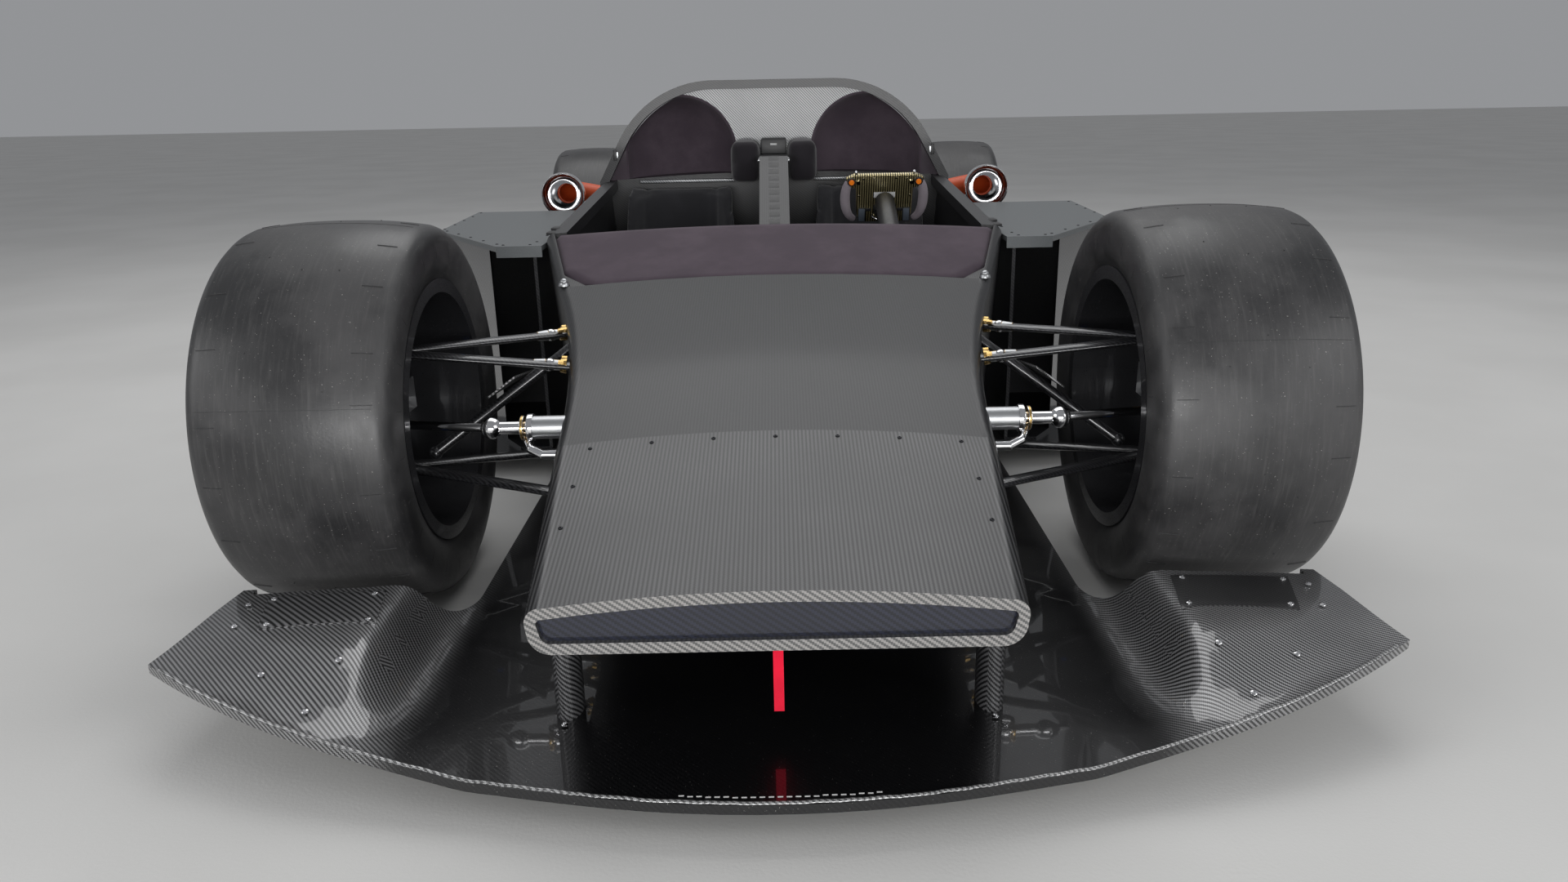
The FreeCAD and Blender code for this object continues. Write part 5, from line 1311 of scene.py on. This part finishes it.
latches.block((0, 0.031, 0.772), (0.022, 0.003, 0.008), None, 0.001, index=2)
for sign in (1, -1):
    latches.bar((sign * 0.041, 0.028, 0.725), (sign * 0.049, 0.028, 0.725), 0.009, sides=24, soft=0.001,
                index=1)
for step in range(12):
    along = step * 0.030
    place = (0, SPINE_START[0] + along + 0.012, SPINE_START[1] + along * SPINE_RISE)
    latches.block(place, (0.030, 0.024, 0.004), Matrix.Rotation(math.radians(SPINE_TILT), 3, "X"), 0.001,
                  index=0)
for sign in (1, -1):
    latches.block((sign * 0.275, 0.128, 0.6615), (0.300, 0.020, 0.011), None, 0.002, index=3)
latches.done("latches", [black_plastic, milled, blank_plate, ledge_weave], "chassis")

# %% [markdown]
# ## Wheel details
# Each wheel has valve caps on the barrel, and bolts round the brake disc's bell.

# %% Valves and disc bolts
for (end, side), (sign, centre, body) in WHEELS.items():
    parts = Assembly()
    for step in range(12):
        angle = math.pi * step / 6
        spot = centre + Vector((sign * 0.112, 0.050 * math.cos(angle), 0.050 * math.sin(angle)))
        parts.bar(spot, spot + Vector((sign * 0.006, 0, 0)), 0.0042, 0.0038, 6, index=1)
    for angle in (0.4, 0.4 + math.pi):
        spot = centre + Vector((-sign * 0.120, 0.2155 * math.cos(angle), 0.2155 * math.sin(angle)))
        parts.bar(spot, spot - Vector((sign * 0.018, 0, 0)), 0.0035, sides=12, index=0)
        parts.bar(spot - Vector((sign * 0.018, 0, 0)), spot - Vector((sign * 0.028, 0, 0)), 0.0048, 0.0040, 12,
                  index=2)
    parts.done(f"{end}_{side}_wheel_fittings", [milled, polished, blue_cap], body)
print("details done")

# %% [markdown]
# ## Clear away the stamps
# The small shapes that Geometry Nodes copied are not pieces of the car, so they go before the floor and
# the lamps come.

# %% Remove the stamps
for stamp in (button_head, small_head, cap_bolt):
    bpy.data.objects.remove(stamp)

# %% [markdown]
# ## Floor, light and camera
# The car stands on a plain pale floor under one large soft overhead panel, with a wide panel ahead of it
# and two weaker ones at the front corners. Large panels matter here, because lacquered carbon shows its
# shape mostly by what it reflects. The camera stands low in front of the nose.

# %% Floor and light


def paint_floor():
    finish = Finish("pale_floor", (0.62, 0.615, 0.60), 0.7)
    cloud = finish.noise(1.2, 4.0)
    finish.link(finish.mix(finish.band(cloud, 0.3, 0.7), (0.60, 0.595, 0.58), (0.65, 0.645, 0.63)),
                finish.shader.inputs["Base Color"])
    finish.bump(finish.noise(180.0, 4.0), 0.25, 0.001)
    return finish


FLOOR_REACH = 40.0
corners = [(-FLOOR_REACH, -FLOOR_REACH, 0), (FLOOR_REACH, -FLOOR_REACH, 0), (FLOOR_REACH, FLOOR_REACH, 0),
           (-FLOOR_REACH, FLOOR_REACH, 0)]
floor = add_piece("studio_floor", corners, [(0, 1, 2, 3)], paint_floor(), None, None, smooth=False)


def softbox(name, place, aim, width, height, watts):
    lamp = bpy.data.lights.new(name, "AREA")
    lamp.shape, lamp.size, lamp.size_y, lamp.energy = "RECTANGLE", width, height, watts
    made = bpy.data.objects.new(name, lamp)
    made.location = place
    made.rotation_euler = (Vector(aim) - Vector(place)).to_track_quat("-Z", "Y").to_euler()
    bpy.context.scene.collection.objects.link(made)


softbox("overhead", (0.0, 1.2, 4.4), (0.0, 0.4, 0.0), 5.0, 4.0, 120)
softbox("ahead", (0.0, -5.8, 0.9), (0.0, -1.6, 0.4), 3.6, 0.9, 120)
softbox("front_left", (4.2, -4.2, 2.6), (0.2, -0.6, 0.3), 2.6, 2.2, 60)
softbox("front_right", (-4.4, -3.4, 2.4), (-0.2, -0.6, 0.3), 2.4, 2.2, 38)
world = bpy.data.worlds.new("studio")
world.use_nodes = True
world.node_tree.nodes["Background"].inputs["Color"].default_value = (0.50, 0.51, 0.53, 1)
world.node_tree.nodes["Background"].inputs["Strength"].default_value = 0.58
bpy.context.scene.world = world
bpy.context.scene.view_settings.view_transform = "Standard"

# %% Camera
EYE = Vector((0.013, -3.399, 0.909))
PITCH, YAW, ROLL = math.radians(17.6), math.radians(0.02), math.radians(-1.128)
ahead = Vector((math.sin(YAW) * math.cos(PITCH), math.cos(YAW) * math.cos(PITCH), -math.sin(PITCH)))
level = Vector((math.cos(YAW), -math.sin(YAW), 0))
upward = level.cross(ahead)
right = math.cos(ROLL) * level + math.sin(ROLL) * upward
up = math.cos(ROLL) * upward - math.sin(ROLL) * level
lens = bpy.data.cameras.new("eye")
lens.lens, lens.sensor_width, lens.clip_start = 24.9, 36.0, 0.05
camera = bpy.data.objects.new("eye", lens)
camera.matrix_world = Matrix((right, up, -ahead)).transposed().to_4x4()
camera.location = EYE
bpy.context.scene.collection.objects.link(camera)
bpy.context.scene.camera = camera
